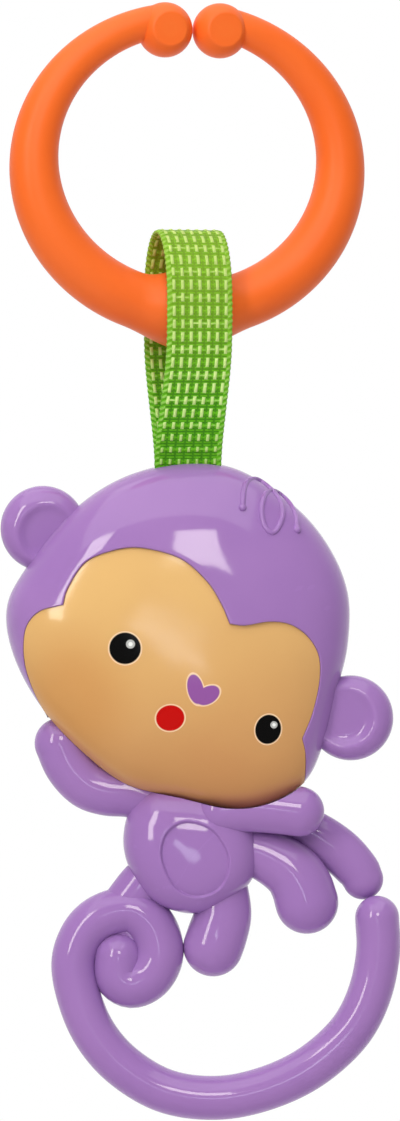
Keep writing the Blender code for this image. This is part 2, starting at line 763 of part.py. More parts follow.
def make_face(shared):
    centre = head_centre()
    face = front_dome("face_plate", FACE_RECESS, "tan")
    window = prism("face_window", inset_loop(face_opening(), GAP), centre, -FAR, FAR)
    boolean(face, "INTERSECT", window)
    flange = front_dome("face_flange", HOOD_WALL + GAP)
    flange_loop = smooth(FLANGE_SHAPE, 3, closed=True) * head_scale()
    boolean(flange, "INTERSECT", prism("flange_edge", flange_loop, centre, -FAR, FAR))
    boolean(face, "UNION", flange)
    boolean(face, "DIFFERENCE", front_dome("face_hollow", FACE_RECESS + FACE_WALL))
    inner = front_dome("face_post_limit", FACE_RECESS + FACE_WALL / 2)
    screws = spots_from(centre, HEAD_SCREWS, head_scale())
    for k, spot in enumerate(screws[2:], 3):
        boolean(face, "UNION", boss(f"face_post_{k}", spot, -1, inner))
    boolean(face, "DIFFERENCE", shared["behind"])
    for k, spot in enumerate(screws[2:], 3):
        boolean(face, "DIFFERENCE", pilot(f"face_pilot_{k}", spot))


def limbs(grow=0.0):
    """The legs, the tail and the hub that joins them, as separate overlapping solids."""
    tag = "space" if grow else "core"
    torso = torso_centre()
    tail = (torso[0] + TAIL_X, torso[1] - TAIL_DROP)
    scale = shape_scale(TAIL_PATH, TAIL_WIDTH, TAIL_HEIGHT, closed=False) / MM
    tail_line = [(x * scale[0], z * scale[1], 1.0) for x, z in TAIL_PATH]
    behind = LIMB_FLATNESS * LEG_B_R + GAP
    hub = spots_from(torso, TORSO_SCREWS[1:], (MM, MM))[0]
    half = HUB_HALF_THICKNESS + grow
    return [
        limb(f"tail_{tag}", tail_line, TAIL_R, tail, flatness=1.0, grow=grow),
        limb(f"coil_{tag}", COIL, COIL_R, tail, flatness=COIL_FLATNESS, grow=grow, gap=COIL_SPACING),
        limb(f"stub_{tag}", STUB, STUB_R, torso, grow=grow),
        limb(f"leg_a_{tag}", LEG_A, LEG_A_R, torso, grow=grow),
        limb(f"leg_b_{tag}", LEG_B, LEG_B_R, torso, y=behind, grow=grow),
        limb(f"leg_c_{tag}", LEG_C, LEG_C_R, torso, grow=grow),
        rod(f"hub_{tag}", HUB_R + grow, -half, half, hub),
    ]


def make_legs_tail(shared):
    hub = spots_from(torso_centre(), TORSO_SCREWS[1:], (MM, MM))[0]
    core = limbs()
    whole = core[0]
    boolean(whole, "UNION", *core[1:])
    seat = POST_R + POCKET_WALL
    cuts = [
        rod("hub_front_seat", seat, -POST_LENGTH, -HUB_HALF_THICKNESS, hub),
        rod("hub_back_seat", seat, HUB_HALF_THICKNESS, POST_LENGTH, hub),
        rod("hub_hole", SCREW_R + 2 * GAP, -POST_LENGTH, POST_LENGTH, hub, sides=SMALL_SIDES),
    ]
    boolean(whole, "DIFFERENCE", *cuts)
    graph = bpy.context.evaluated_depsgraph_get()
    for half, side in (("front", "behind"), ("rear", "in_front")):
        mesh = bpy.data.meshes.new_from_object(whole.evaluated_get(graph))
        piece = add_object(f"legs_tail_{half}_half", mesh, "purple")
        boolean(piece, "DIFFERENCE", shared[side])


def make_torso(shared):
    loop, centre = torso_loop(), torso_centre()
    head = head_centre()

    def layer(name, inset, look=None):
        return dome(name, loop, centre, TORSO_FRONT_DEPTH, -1, TORSO_FULLNESS, look, inset)

    torso = layer("torso_front_shell", 0.0, "purple")
    cavity = layer("torso_front_cavity", WALL)
    inner = layer("torso_post_limit", WALL / 2)
    boolean(torso, "UNION", limb("left_arm_front", LEFT_ARM, ARM_R, centre))
    boolean(torso, "DIFFERENCE", cavity)
    boolean(torso, "UNION", limb("right_arm", RIGHT_ARM, ARM_R, centre, y=RIGHT_ARM_Y))
    first, second = spots_from(centre, TORSO_SCREWS, (MM, MM))
    boolean(torso, "UNION", boss("torso_post_1", first, -1, inner))
    boolean(torso, "DIFFERENCE", *shared["limb_space"])
    post = rod("torso_post_2", POST_R, -POST_LENGTH, -HUB_HALF_THICKNESS - GAP, second)
    boolean(post, "INTERSECT", inner)
    boolean(torso, "UNION", post)
    chin = prism("head_space", inset_loop(head_loop(), -GAP), head, -FAR, FAR)
    scale = shape_scale(BELLY_SHAPE, BELLY_WIDTH, BELLY_HEIGHT)
    oval = even(smooth(BELLY_SHAPE, 6, closed=True) * scale, BELLY_POINTS, closed=True)
    belly = prism("belly_recess", oval, centre, -FAR, 0.0)
    boolean(belly, "DIFFERENCE", layer("belly_floor", BELLY_RECESS))
    boolean(torso, "DIFFERENCE", chin, belly, shared["behind"])
    boolean(torso, "DIFFERENCE", pilot("torso_pilot_1", first), pilot("torso_pilot_2", second))


def make_chamber(limit):
    """The round rib behind the face that keeps the beads together."""
    centre = head_centre()
    rib = rod("chamber_rib", CHAMBER_R + CHAMBER_WALL, -FAR, FAR, centre, sides=CHAMBER_SIDES)
    hollow = rod("chamber_hollow", CHAMBER_R, -FAR - OVERRUN, FAR + OVERRUN, centre, sides=CHAMBER_SIDES)
    front = front_dome("chamber_front_limit", FACE_RECESS + FACE_WALL + GAP)
    boolean(front, "UNION", limit)
    boolean(rib, "DIFFERENCE", hollow)
    boolean(rib, "INTERSECT", front)
    return rib


def make_back(shared):
    head, torso = head_centre(), torso_centre()

    def head_dome(name, **changes):
        return dome(
            name, head_loop(), head, HEAD_BACK_DEPTH, 1, HEAD_FULLNESS,
            flat=BACK_FLAT_SHARE, **changes,
        )

    def torso_dome(name, **changes):
        return dome(
            name, torso_loop(), torso, TORSO_BACK_DEPTH, 1, TORSO_FULLNESS, **changes
        )

    back = head_dome("back_shell", look="purple")
    boolean(back, "UNION", torso_dome("torso_back"), limb("neck", NECK, NECK_R, torso))
    boolean(back, "UNION", limb("left_arm_back", LEFT_ARM, ARM_R, torso))
    make_ears(back, head, False)
    boolean(back, "DIFFERENCE", head_dome("head_back_cavity", inset=WALL))
    boolean(back, "DIFFERENCE", torso_dome("torso_back_cavity", inset=WALL))
    head_limit = head_dome("head_back_limit", inset=WALL / 2)
    torso_limit = torso_dome("torso_back_limit", inset=WALL / 2)
    head_spots = spots_from(head, HEAD_SCREWS, head_scale())
    torso_spots = spots_from(torso, TORSO_SCREWS, (MM, MM))
    width = SCREW_HEAD_R + GAP + POCKET_WALL
    for k, spot in enumerate(head_spots, 1):
        post = rod(f"head_back_post_{k}", width, -OVERRUN, POST_LENGTH, spot)
        boolean(post, "INTERSECT", head_limit)
        boolean(back, "UNION", post)
    post = rod("torso_back_post_1", width, -OVERRUN, POST_LENGTH, torso_spots[0])
    boolean(post, "INTERSECT", torso_limit)
    boolean(back, "UNION", post)
    boolean(back, "DIFFERENCE", *shared["limb_space"])
    post = rod(
        "torso_back_post_2", width, HUB_HALF_THICKNESS + GAP, POST_LENGTH, torso_spots[1]
    )
    boolean(post, "INTERSECT", torso_limit)
    boolean(back, "UNION", post)
    for side in (-1, 1):
        boolean(back, "UNION", pin_seat(side, 1, head_limit))
    boolean(back, "DIFFERENCE", shared["in_front"])
    boolean(back, "UNION", make_chamber(head_limit))
    boolean(back, "DIFFERENCE", shared["slot"], shared["pin_bore"])
    for k, spot in enumerate(head_spots + torso_spots, 1):
        pocket = rod(
            f"screw_pocket_{k}", SCREW_HEAD_R + GAP, SCREW_SEAT_Y - GAP, POST_LENGTH, spot
        )
        hole = rod(f"screw_hole_{k}", SCREW_R + GAP, -GAP, SCREW_SEAT_Y, spot, sides=SMALL_SIDES)
        boolean(back, "DIFFERENCE", pocket, hole)
    for modifier in back.modifiers:
        modifier.use_self = True


def make_screws():
    head = spots_from(head_centre(), HEAD_SCREWS, head_scale())
    torso = spots_from(torso_centre(), TORSO_SCREWS, (MM, MM))
    names = [f"head_screw_{k}" for k in range(1, 5)] + ["torso_screw_1", "torso_screw_2"]
    top = SCREW_SEAT_Y + SCREW_HEAD_HEIGHT
    profile = (
        (0.0, top),
        (0.6 * SCREW_HEAD_R, top),
        (SCREW_HEAD_R, top - 0.4 * SCREW_HEAD_HEIGHT),
        (SCREW_HEAD_R, SCREW_SEAT_Y),
        (SCREW_R, SCREW_SEAT_Y),
        (SCREW_R, SCREW_R - SCREW_REACH),
        (0.0, -SCREW_REACH),
    )
    for name, spot in zip(names, head + torso):
        screw = turned(name, profile, (spot[0], 0.0, spot[1]), "steel", steps=SMALL_SIDES)
        for bar, (wide, high) in (("flat", (1, 0)), ("upright", (0, 1))):
            half_x = RECESS_HALF_LENGTH if wide else RECESS_HALF_WIDTH
            half_z = RECESS_HALF_LENGTH if high else RECESS_HALF_WIDTH
            low = (spot[0] - half_x, top - RECESS_DEPTH, spot[1] - half_z)
            far = (spot[0] + half_x, top + OVERRUN, spot[1] + half_z)
            boolean(screw, "DIFFERENCE", block(f"{name}_{bar}_recess", low, far))


def make_beads():
    x, z = head_centre()
    low = CHAMBER_R - BEAD_R - GAP
    for k in range(6):
        across = (k % 3 - 1) * BEAD_PITCH
        deep = BEAD_ROW_Y if k > 2 else -BEAD_ROW_Y
        spot = (x + across, deep, z - math.sqrt(low**2 - across**2))
        ball(f"rattle_bead_{k + 1}", spot, (BEAD_R,) * 3, "white", BEAD_SIDES)


def shared_cutters():
    """The cutters that more than one piece is cut with."""
    slot = strap_wrap() + STRAP_THICKNESS / 2 + GAP
    across = STRAP_WIDTH / 2 + 1.5 * GAP
    bore = rod("pin_bore", PIN_R + GAP, -PIN_LENGTH / 2 - GAP, PIN_LENGTH / 2 + GAP, (0.0, 0.0))
    bore.rotation_euler = (0.0, 0.0, math.radians(90))
    bore.location = (0.0, 0.0, 0.0)
    return {
        "behind": block("front_trim", (-FAR, -GAP / 2, -4 * FAR), (FAR, FAR, FAR)),
        "in_front": block("back_trim", (-FAR, -FAR, -4 * FAR), (FAR, GAP / 2, FAR)),
        "slot": block(
            "strap_slot",
            (-across, -slot - FIGURE_Y, pin_z()),
            (across, slot - FIGURE_Y, head_top_z() + POST_LENGTH),
        ),
        "pin_bore": bore,
        "limb_space": limbs(grow=GAP),
    }


def main():
    clear_scene()
    main_collection = new_collection("hanging_baby_rattle")
    new_collection("cutters")
    material("orange", (0.95, 0.17, 0.03), 0.4)
    material("green", (0.24, 0.6, 0.05), 0.8)
    material("purple", (0.42, 0.21, 0.62), 0.25)
    material("tan", (0.78, 0.44, 0.2), 0.3)
    material("white", (0.85, 0.85, 0.82), 0.35)
    material("steel", (0.6, 0.6, 0.62), 0.3, 1.0)
    pivots = (
        ("ring_turn", 0.0, RING_YAW),
        ("strap_pivot", knuckle_z(), 0.0),
        ("figure_pivot", pin_z(), 0.0),
    )
    for name, height, yaw in pivots:
        pivot = bpy.data.objects.new(name, None)
        pivot.location = (0.0, 0.0, height)
        pivot.rotation_euler = (0.0, 0.0, yaw)
        main_collection.objects.link(pivot)
    shared = shared_cutters()
    make_ring()
    make_strap()
    make_pin()
    make_hood(shared)
    make_face(shared)
    make_torso(shared)
    make_legs_tail(shared)
    make_back(shared)
    make_screws()
    make_beads()


main()
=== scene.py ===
"""Looks of the hanging baby rattle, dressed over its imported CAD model.

The toy hangs in metres with +Z up, +X to the right and its front facing -Y. The
origin is the point under the two knobs where the ring hangs. Shapes below are
outlines in millimetres from the centre of their own piece.
"""

import math
from functools import cache, partialmethod
from types import SimpleNamespace

import bmesh
import bpy
import numpy as np
from mathutils import Matrix, Vector


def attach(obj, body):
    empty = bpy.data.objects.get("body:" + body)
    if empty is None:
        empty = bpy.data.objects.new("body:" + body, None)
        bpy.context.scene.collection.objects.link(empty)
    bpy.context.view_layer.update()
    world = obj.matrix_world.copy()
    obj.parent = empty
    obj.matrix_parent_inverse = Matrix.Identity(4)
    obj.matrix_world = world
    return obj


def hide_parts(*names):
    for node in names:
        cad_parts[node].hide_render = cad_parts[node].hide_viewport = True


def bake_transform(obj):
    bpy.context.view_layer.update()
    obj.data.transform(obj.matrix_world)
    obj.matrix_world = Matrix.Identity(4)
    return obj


bl_info = {
    "name": "Hanging baby rattle",
    "version": (1, 0, 0),
    "blender": (4, 5, 0),
    "location": "View3D > Sidebar > Rattle",
    "description": "Moulded skins, webbing and studio for a hanging baby rattle",
    "category": "Object",
}

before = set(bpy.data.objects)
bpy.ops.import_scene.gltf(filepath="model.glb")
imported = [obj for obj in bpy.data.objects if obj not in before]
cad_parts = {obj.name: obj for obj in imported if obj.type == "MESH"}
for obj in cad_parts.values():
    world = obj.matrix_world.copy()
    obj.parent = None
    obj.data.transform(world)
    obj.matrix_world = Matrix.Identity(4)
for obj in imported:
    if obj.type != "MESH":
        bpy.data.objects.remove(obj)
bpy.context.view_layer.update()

MM = 0.001
PARTING = 0.01 * MM  # each half of a moulding stops this far from the parting plane
CLEARANCE = 0.15 * MM  # free play between pieces that touch or turn on each other
CREASE = 40.0  # edges sharper than this, in degrees, are shaded sharp
RING_YAW = math.radians(15)  # the ring hangs turned by this about Z

# Fullness of the domes, the walls behind them, and the flat share of the head's back
HEAD_FULL, TORSO_FULL, EAR_FULL = 2.6, 2.7, 2.7
HOOD_WALL, FACE_WALL, BACK_WALL = 1.6 * MM, 2.0 * MM, 1.8 * MM
FLAT_BACK = 0.5

# Screw posts: radii of the hole, the pocket and the post, and where the screw's head sits
HOLE, POCKET, POST, SEAT = 1.6 * MM, 2.8 * MM, 4.0 * MM, 3.2 * MM
CHAMBER, CHAMBER_WALL = 13.5 * MM, 1.2 * MM
OUTSIDE = 14.0 * MM  # past every shell, for the ends of cutters
FAR = 0.06  # past the whole figure, for cutters that take one side of it

# Weave, in millimetres: warp columns, rows of floats, ribs of weft, loops of the selvedge
COLUMN_PITCH, ROW_PITCH, RIB_PITCH, LOOP_PITCH = 1.7, 2.4, 0.6, 1.1

# Tubes: rows in each rounded end, and the share of a bend's radius that a section may fill
END_ROWS, BEND_ROOM = 13, 0.92

# Stage in metres: what the camera and lamps aim at, how far off the camera is, the height of
# the photograph (1121 rows of 0.19 mm) and of the floor, and the tints of the lamps
MIDDLE = (0.0023, 0.0, -0.0955)
CAMERA_DISTANCE, PHOTO_HEIGHT, FLOOR = 1.5, 1121 * 0.19 * MM, -0.25
WARM, WHITE = (1.0, 1.0, 0.86), (1.0, 1.0, 1.0)

HEAD_SHAPE = (
    (-0.4, 32.5), (10.6, 31.5), (21.5, 24.7), (28.3, 16.9), (32.1, 7.8), (32.1, -2.1),
    (30.0, -11.0), (27.4, -21.1), (23.9, -28.1), (17.1, -32.1), (9.5, -33.1), (0.4, -31.2),
    (-10.4, -28.5), (-19.4, -21.7), (-27.0, -13.3), (-31.9, -4.0), (-33.2, 4.6),
    (-30.0, 11.8), (-21.7, 22.4), (-11.8, 29.4),
)
HAIRLINE = (
    ((-25.3, -16.0), (-27.7, -11.4), (-29.4, -6.5), (-29.8, -2.1), (-29.1, 1.7),
     (-26.6, 4.4), (-22.2, 5.6)),
    ((-22.2, 5.6), (-21.3, 8.7), (-18.1, 13.5), (-13.3, 15.7), (-7.6, 16.4), (0.0, 14.4),
     (5.1, 10.1), (7.8, 5.9), (9.5, 2.0)),
    ((9.5, 2.0), (12.4, 1.7), (16.9, 2.4), (20.9, 1.9), (24.3, -0.4), (26.4, -4.0),
     (26.6, -8.7), (25.3, -14.8), (23.3, -19.8)),
    ((23.3, -19.8), (23.9, -22.6), (23.9, -26.8), (23.6, -30.0)),
)
HAIR_CURL = (
    (11.9, 24.0), (12.1, 27.2), (12.9, 29.0), (14.6, 29.4), (16.8, 28.0), (18.9, 25.6),
    (19.5, 22.4), (18.0, 19.4), (16.2, 20.3), (15.5, 23.6), (16.3, 26.6), (18.2, 27.1),
    (20.6, 25.2), (22.0, 22.6), (22.3, 19.8),
)
TORSO_SHAPE = (
    (-5.9, 13.7), (-11.2, 9.9), (-12.9, 4.2), (-12.0, -1.5), (-8.6, -7.2), (-3.6, -10.1),
    (2.1, -10.6), (7.8, -7.8), (11.6, -4.2), (12.7, 1.1), (11.2, 6.8), (5.9, 12.5),
)
BELLY_SHAPE = (
    (-0.8, 7.0), (4.2, 5.3), (7.2, 0.2), (5.9, -5.1), (1.5, -7.2), (-3.0, -5.4),
    (-5.6, 0.2), (-4.6, 4.9),
)
TAIL_PATH = (
    (30.8, 7.9), (31.0, 1.6), (29.6, -5.7), (26.6, -12.2), (22.0, -17.3), (16.1, -21.5),
    (8.9, -24.5), (1.3, -26.0), (-6.7, -25.5), (-13.3, -23.0), (-19.9, -17.9),
    (-24.5, -11.0), (-27.0, -1.9), (-25.6, 4.2), (-21.8, 8.0), (-16.1, 9.3),
    (-12.0, 6.3), (-10.7, 1.3),
)

# Centrelines with the share of the limb's radius at each point
COIL = (
    (-10.7, 1.3, 1.04), (-12.4, -2.8, 1.04), (-15.7, -4.6, 1.03), (-18.3, -3.1, 1.03),
    (-18.4, 0.6, 1.03),
)
LEFT_ARM = (
    (-24.9, 21.7, 1.0), (-23.0, 17.5, 1.0), (-19.8, 14.1, 1.0), (-16.1, 12.7, 0.98),
    (-11.6, 12.2, 0.95), (-6.8, 10.6, 0.9),
)
RIGHT_ARM = ((5.5, 9.0, 0.9), (10.8, 9.6, 0.95), (15.4, 9.5, 0.98), (20.5, 8.9, 0.98))
LEG_A = (
    (4.0, 2.4, 0.8), (10.0, 1.7, 0.8), (14.5, 0.3, 0.85), (18.7, -2.3, 0.93),
    (20.9, -5.3, 0.98), (22.0, -8.5, 1.0),
)
LEG_B = (
    (5.0, 4.6, 0.8), (17.4, 6.2, 0.98), (22.4, 4.9, 1.04), (27.9, 1.4, 1.06),
    (31.6, -2.3, 1.0), (32.7, -4.2, 0.94),
)
LEG_C = (
    (5.0, -0.5, 0.8), (5.9, -7.0, 0.9), (6.0, -11.0, 0.96), (5.0, -14.6, 1.0), (4.2, -16.9, 1.0),
)
TAIL_WEB = ((-13.5, -13.0, 1.0), (-11.0, -16.0, 1.0), (-12.5, -19.0, 1.0))
STUB = ((-12.8, -9.4, 1.0), (-8.5, -4.2, 1.0), (-3.5, -1.0, 0.9))
NECK = ((0.0, 4.0, 1.0), (-1.0, 12.0, 1.0), (-1.5, 20.0, 0.9))
HEAD_SCREWS = ((-13.6, 22.6), (21.0, 13.0), (-19.0, -12.0), (18.0, -15.0))
TORSO_SCREWS = ((-6.0, 7.2), (0.0, -1.0))
# Narrowing of the loop: share of its half width, and share of the drop below the knuckle
STRAP_TAPER = ((1.0, 0.09), (0.92, 0.36), (0.64, 0.70))

# Printed features, and a browner tone over one cheek, in millimetres of the whole toy: centre,
# half sizes and turn
EYES = (
    ((-11.82, -112.05), (2.97, 2.97), 0.0),
    ((15.16, -127.35), (2.42, 2.78), -0.25),
)
GLINTS = (((-10.8, -111.25), (0.8, 0.8)), ((16.25, -126.5), (0.64, 0.64)))
MOUTH = ((-3.31, -125.2), (2.68, 2.42), 0.2)
NOSE_LOBES = (((1.46, -119.76), (1.5, 2.83), 0.21), ((3.78, -120.9), (2.42, 1.6), 0.56))
CHEEK = ((-22.0, -122.0), (15.0, 17.0))


# Lines and outlines

def smooth(points, per_span, closed=False):
    """Catmull-Rom curve: each span is the cubic whose slopes join its neighbours' points."""
    given = np.asarray(points, float)
    if closed:
        ends, spans = np.vstack([given[-1:], given, given[:2]]), len(given)
    else:
        ends = np.vstack([2 * given[0] - given[1], given, 2 * given[-1] - given[-2]])
        spans = len(given) - 1
    a, b, c, d = (ends[k : k + spans, None] for k in range(4))
    t = (np.arange(per_span) / per_span)[None, :, None]
    line = (2 * a - 5 * b + 4 * c - d) * t**2 + (3 * b - a - 3 * c + d) * t**3
    line = (0.5 * (2 * b + (c - a) * t + line)).reshape(-1, given.shape[1])
    return line if closed else np.vstack([line, given[-1:]])


def even(points, count, closed=False):
    """The same line with its points spread evenly along its length in the drawn plane."""
    line = np.vstack([points, points[:1]]) if closed else points
    steps = np.linalg.norm(np.diff(line[:, :2], axis=0), axis=1)
    along = np.concatenate([[0], np.cumsum(steps)])
    wanted = np.linspace(0, along[-1], count + 1 if closed else count)
    spread = np.stack([np.interp(wanted, along, column) for column in line.T], axis=1)
    return spread[:-1] if closed else spread


def drawn_scale(shape, width, height, closed=True):
    """The two factors that give a drawn shape its real width and height, in metres."""
    drawn = smooth(shape, 8, closed)
    return np.array([width, height]) / np.ptp(drawn, axis=0)


def loop_of(shape, width, height, count=360):
    return even(smooth(shape, 24, True) * drawn_scale(shape, width, height), count, True)


def inset(loop, distance):
    """The loop moved inwards along its normals, or outwards by a negative distance."""
    ahead = np.roll(loop, -1, axis=0) - np.roll(loop, 1, axis=0)
    outward = np.stack([ahead[:, 1], -ahead[:, 0]], axis=1)
    outward /= np.linalg.norm(outward, axis=1)[:, None]
    after = np.roll(loop, -1, axis=0)
    area = np.sum(loop[:, 0] * after[:, 1] - after[:, 0] * loop[:, 1])
    return loop - outward * math.copysign(1.0, area) * distance


def reach(loop, angle):
    """How far a loop lies from its own origin in given directions."""
    angles = np.arctan2(loop[:, 1], loop[:, 0])
    order = np.argsort(angles)
    lengths = np.linalg.norm(loop, axis=1)
    return np.interp(angle, angles[order], lengths[order], period=2 * math.pi)


def crown(x, z, loop, depth, fullness, flat=0.0):
    """Height of a dome: depth times (1 - s**fullness)**(1/fullness), where s is the distance
    from the centre over the outline's distance in that direction, past any flat middle."""
    share = np.hypot(x, z) / reach(loop, np.arctan2(z, x))
    share = np.clip((share - flat) / (1 - flat), 0, 1)
    return depth * (1 - share**fullness) ** (1 / fullness)


# Meshes

def turns(count):
    """Angles spread evenly round a full turn."""
    return np.linspace(0, 2 * math.pi, count, endpoint=False)


def polar(radius, angle, centre=(0.0, 0.0)):
    """The two coordinates of points at a radius and an angle from a centre."""
    return centre[0] + radius * np.cos(angle), centre[1] + radius * np.sin(angle)


def outwards(count, power, first=0.0):
    """Shares of the way from a middle to a rim, one to a row, closer together at the rim."""
    return 1 - (1 - np.linspace(first, 1, count)[:, None]) ** power


def at(centre, x, y, z):
    """Points of a piece, from their places about its centre."""
    x, y, z = np.broadcast_arrays(x, y, z)
    return np.stack([centre[0] + x, y, centre[1] + z], axis=-1)


class Skin:
    """Grids of points gathered into one closed mesh."""

    def __init__(self):
        self.points, self.faces, self.marks = [], [], []
        self.total = 0

    def grid(self, points, along=False, poles=(True, True), mark=None):
        """Quads between neighbouring rows of a (rows, columns, 3) array, each row a ring. With
        along, the last row joins the first; otherwise the end rows close into poles."""
        rows, columns = points.shape[:2]
        i = np.arange(rows if along else rows - 1)
        i, j = np.meshgrid(i, np.arange(columns), indexing="ij")
        low, high = i * columns, (i + 1) % rows * columns
        after = (j + 1) % columns
        quads = np.stack([low + j, low + after, high + after, high + j], axis=-1).reshape(-1, 4)
        self.faces += (quads + self.total).tolist()
        self.points.append(points.reshape(-1, 3))
        count = rows * columns
        for pole, first in zip(poles, (0, (rows - 1) * columns)):
            if pole and not along:
                self.points.append(points[first // columns].mean(axis=0)[None])
                ring = first + np.arange(columns)
                fan = np.stack([ring, np.roll(ring, -1), np.full(columns, count)], axis=1)
                self.faces += (fan + self.total).tolist()
                count += 1
        if mark is not None:
            self.marks.append(mark.reshape(-1, 3))
        self.total += count

    def build(self, name, look=None, crease=CREASE):
        """The piece in the finish of that name, or a bare tool for cutting."""
        mesh = bpy.data.meshes.new(name)
        mesh.from_pydata(np.vstack(self.points).tolist(), [], self.faces)
        if self.marks:
            weave = mesh.attributes.new("weave", "FLOAT_VECTOR", "POINT")
            weave.data.foreach_set("vector", np.vstack(self.marks).astype(np.float32).ravel())
        work = bmesh.new()
        work.from_mesh(mesh)
        bmesh.ops.recalc_face_normals(work, faces=work.faces)
        work.to_mesh(mesh)
        work.free()
        mesh.shade_smooth()
        mesh.set_sharp_from_angle(angle=math.radians(crease))
        mesh.materials.append(finish(look) if look else None)
        piece = bpy.data.objects.new(name, mesh)
        bpy.context.scene.collection.objects.link(piece)
        return piece


def solid(name, points, look=None, crease=CREASE, **how):
    """A piece of a single grid."""
    skin = Skin()
    skin.grid(points, **how)
    return skin.build(name, look, crease)


def block(name, low, high):
    """A box between two corners, for cutting."""
    x = np.array([low[0], high[0], high[0], low[0]])
    y = np.array([low[1], low[1], high[1], high[1]])
    return solid(name, np.stack([at((0, 0), x, y, z) for z in (low[2], high[2])]))


def prism(name, loop, centre, low, high):
    """An outline carried along Y, for cutting."""
    return solid(name, np.stack([at(centre, loop[:, 0], y, loop[:, 1]) for y in (low, high)]))


def bore(spot):
    """A round tool that leaves a screw's pocket open to the back."""
    return prism("pocket", np.stack(polar(POCKET, turns(48)), axis=1), spot, SEAT, OUTSIDE)


def cut(piece, *tools):
    """Cuts each tool out of the piece's mesh, and removes the tools."""
    for tool in tools:
        modifier = piece.modifiers.new("cut", "BOOLEAN")
        modifier.object = tool
        modifier.operation = "DIFFERENCE"
        modifier.solver = "EXACT"
    graph = bpy.context.evaluated_depsgraph_get()
    mesh = bpy.data.meshes.new_from_object(piece.evaluated_get(graph))
    piece.modifiers.clear()
    old, piece.data = piece.data, mesh
    mesh.name = piece.name
    mesh.shade_smooth()
    mesh.set_sharp_from_angle(angle=math.radians(CREASE))
    bpy.data.meshes.remove(old)
    for tool in tools:
        bpy.data.objects.remove(tool, do_unlink=True)
    return piece


def joined(name, pieces):
    """One piece made of several, each already closed."""
    first, *others = pieces
    work = bmesh.new()
    for piece in pieces:
        work.from_mesh(piece.data)
    work.to_mesh(first.data)
    work.free()
    for piece in others:
        bpy.data.objects.remove(piece, do_unlink=True)
    first.name = first.data.name = name
    first.data.set_sharp_from_angle(angle=math.radians(CREASE))
    return first


# Materials

POINTINESS = 7  # the Geometry node's output that tells raised edges from hollows


class Value:
    """A node's output. Sums on it add Math nodes, and node() adds a node of any kind."""

    def __init__(self, tree, socket):
        self.tree, self.socket = tree, socket

    def node(self, kind, settings=None, sockets=None, out=0):
        """A new node's output, from its settings and from the values or links of its sockets."""
        made = self.tree.nodes.new(kind)
        for key, value in (settings or {}).items():
            setattr(made, key, value)
        for key, value in (sockets or {}).items():
            if isinstance(value, Value):
                self.tree.links.new(value.socket, made.inputs[key])
            else:
                made.inputs[key].default_value = value
        return Value(self.tree, made.outputs[out])

    def math(self, operation, *others):
        sockets = dict(enumerate((self, *others)))
        return self.node("ShaderNodeMath", {"operation": operation}, sockets)

    __add__ = __radd__ = partialmethod(math, "ADD")
    __mul__ = __rmul__ = partialmethod(math, "MULTIPLY")
    __sub__ = partialmethod(math, "SUBTRACT")
    __truediv__ = partialmethod(math, "DIVIDE")
    __pow__ = partialmethod(math, "POWER")
    __abs__ = partialmethod(math, "ABSOLUTE")
    __round__ = partialmethod(math, "ROUND")

    def __rsub__(self, other):
        return self * -1.0 + other

    def ease(self, low, high):
        """0 below low, 1 above high, with a smooth step between; reversed where low > high."""
        sockets = {"Value": self, "From Min": min(low, high), "From Max": max(low, high),
                   "To Min": float(low > high), "To Max": float(low < high)}
        return self.node("ShaderNodeMapRange", {"interpolation_type": "SMOOTHSTEP"}, sockets)

    def blend(self, low, high):
        """The colour low where this value is 0, and high where it is 1."""
        low, high = (c if isinstance(c, Value) else (*c, 1.0) for c in (low, high))
        settings = {"data_type": "RGBA", "clamp_factor": True}
        return self.node("ShaderNodeMix", settings, {0: self, 6: low, 7: high}, out=2)

    def axes(self):
        """The three parts of a vector."""
        parts = self.node("ShaderNodeSeparateXYZ", None, {0: self}).socket.node
        return [Value(self.tree, socket) for socket in parts.outputs]


class Finish:
    """A named material with its Principled shader and its Object coordinates."""

    def __init__(self, name, **constants):
        self.material = bpy.data.materials.new(name)
        self.material.use_nodes = True
        tree = self.material.node_tree
        self.shader = tree.nodes["Principled BSDF"]
        for key, value in constants.items():
            self.shader.inputs[key.replace("_", " ")].default_value = value
        self.start = Value(tree, tree.nodes.new("ShaderNodeTexCoord").outputs["Object"])

    def noise(self, scale, detail=2.0, spread=0.5):
        sockets = {"Vector": self.start, "Scale": scale, "Detail": detail, "Roughness": spread}
        return self.start.node("ShaderNodeTexNoise", None, sockets)

    def set(self, **links):
        for key, value in links.items():
            socket = self.shader.inputs[key.replace("_", " ")]
            self.start.tree.links.new(value.socket, socket)

    def relief(self, height, strength, distance):
        """Bumps that follow a height, up to a distance in metres."""
        sockets = {"Height": height, "Strength": strength, "Distance": distance}
        self.set(Normal=self.start.node("ShaderNodeBump", None, sockets))


def linear(colour):
    """A screen colour of 0 to 255 as the linear colour that Blender takes."""
    share = np.asarray(colour, float) / 255
    return tuple(np.where(share <= 0.04045, share / 12.92, ((share + 0.055) / 1.055) ** 2.4))


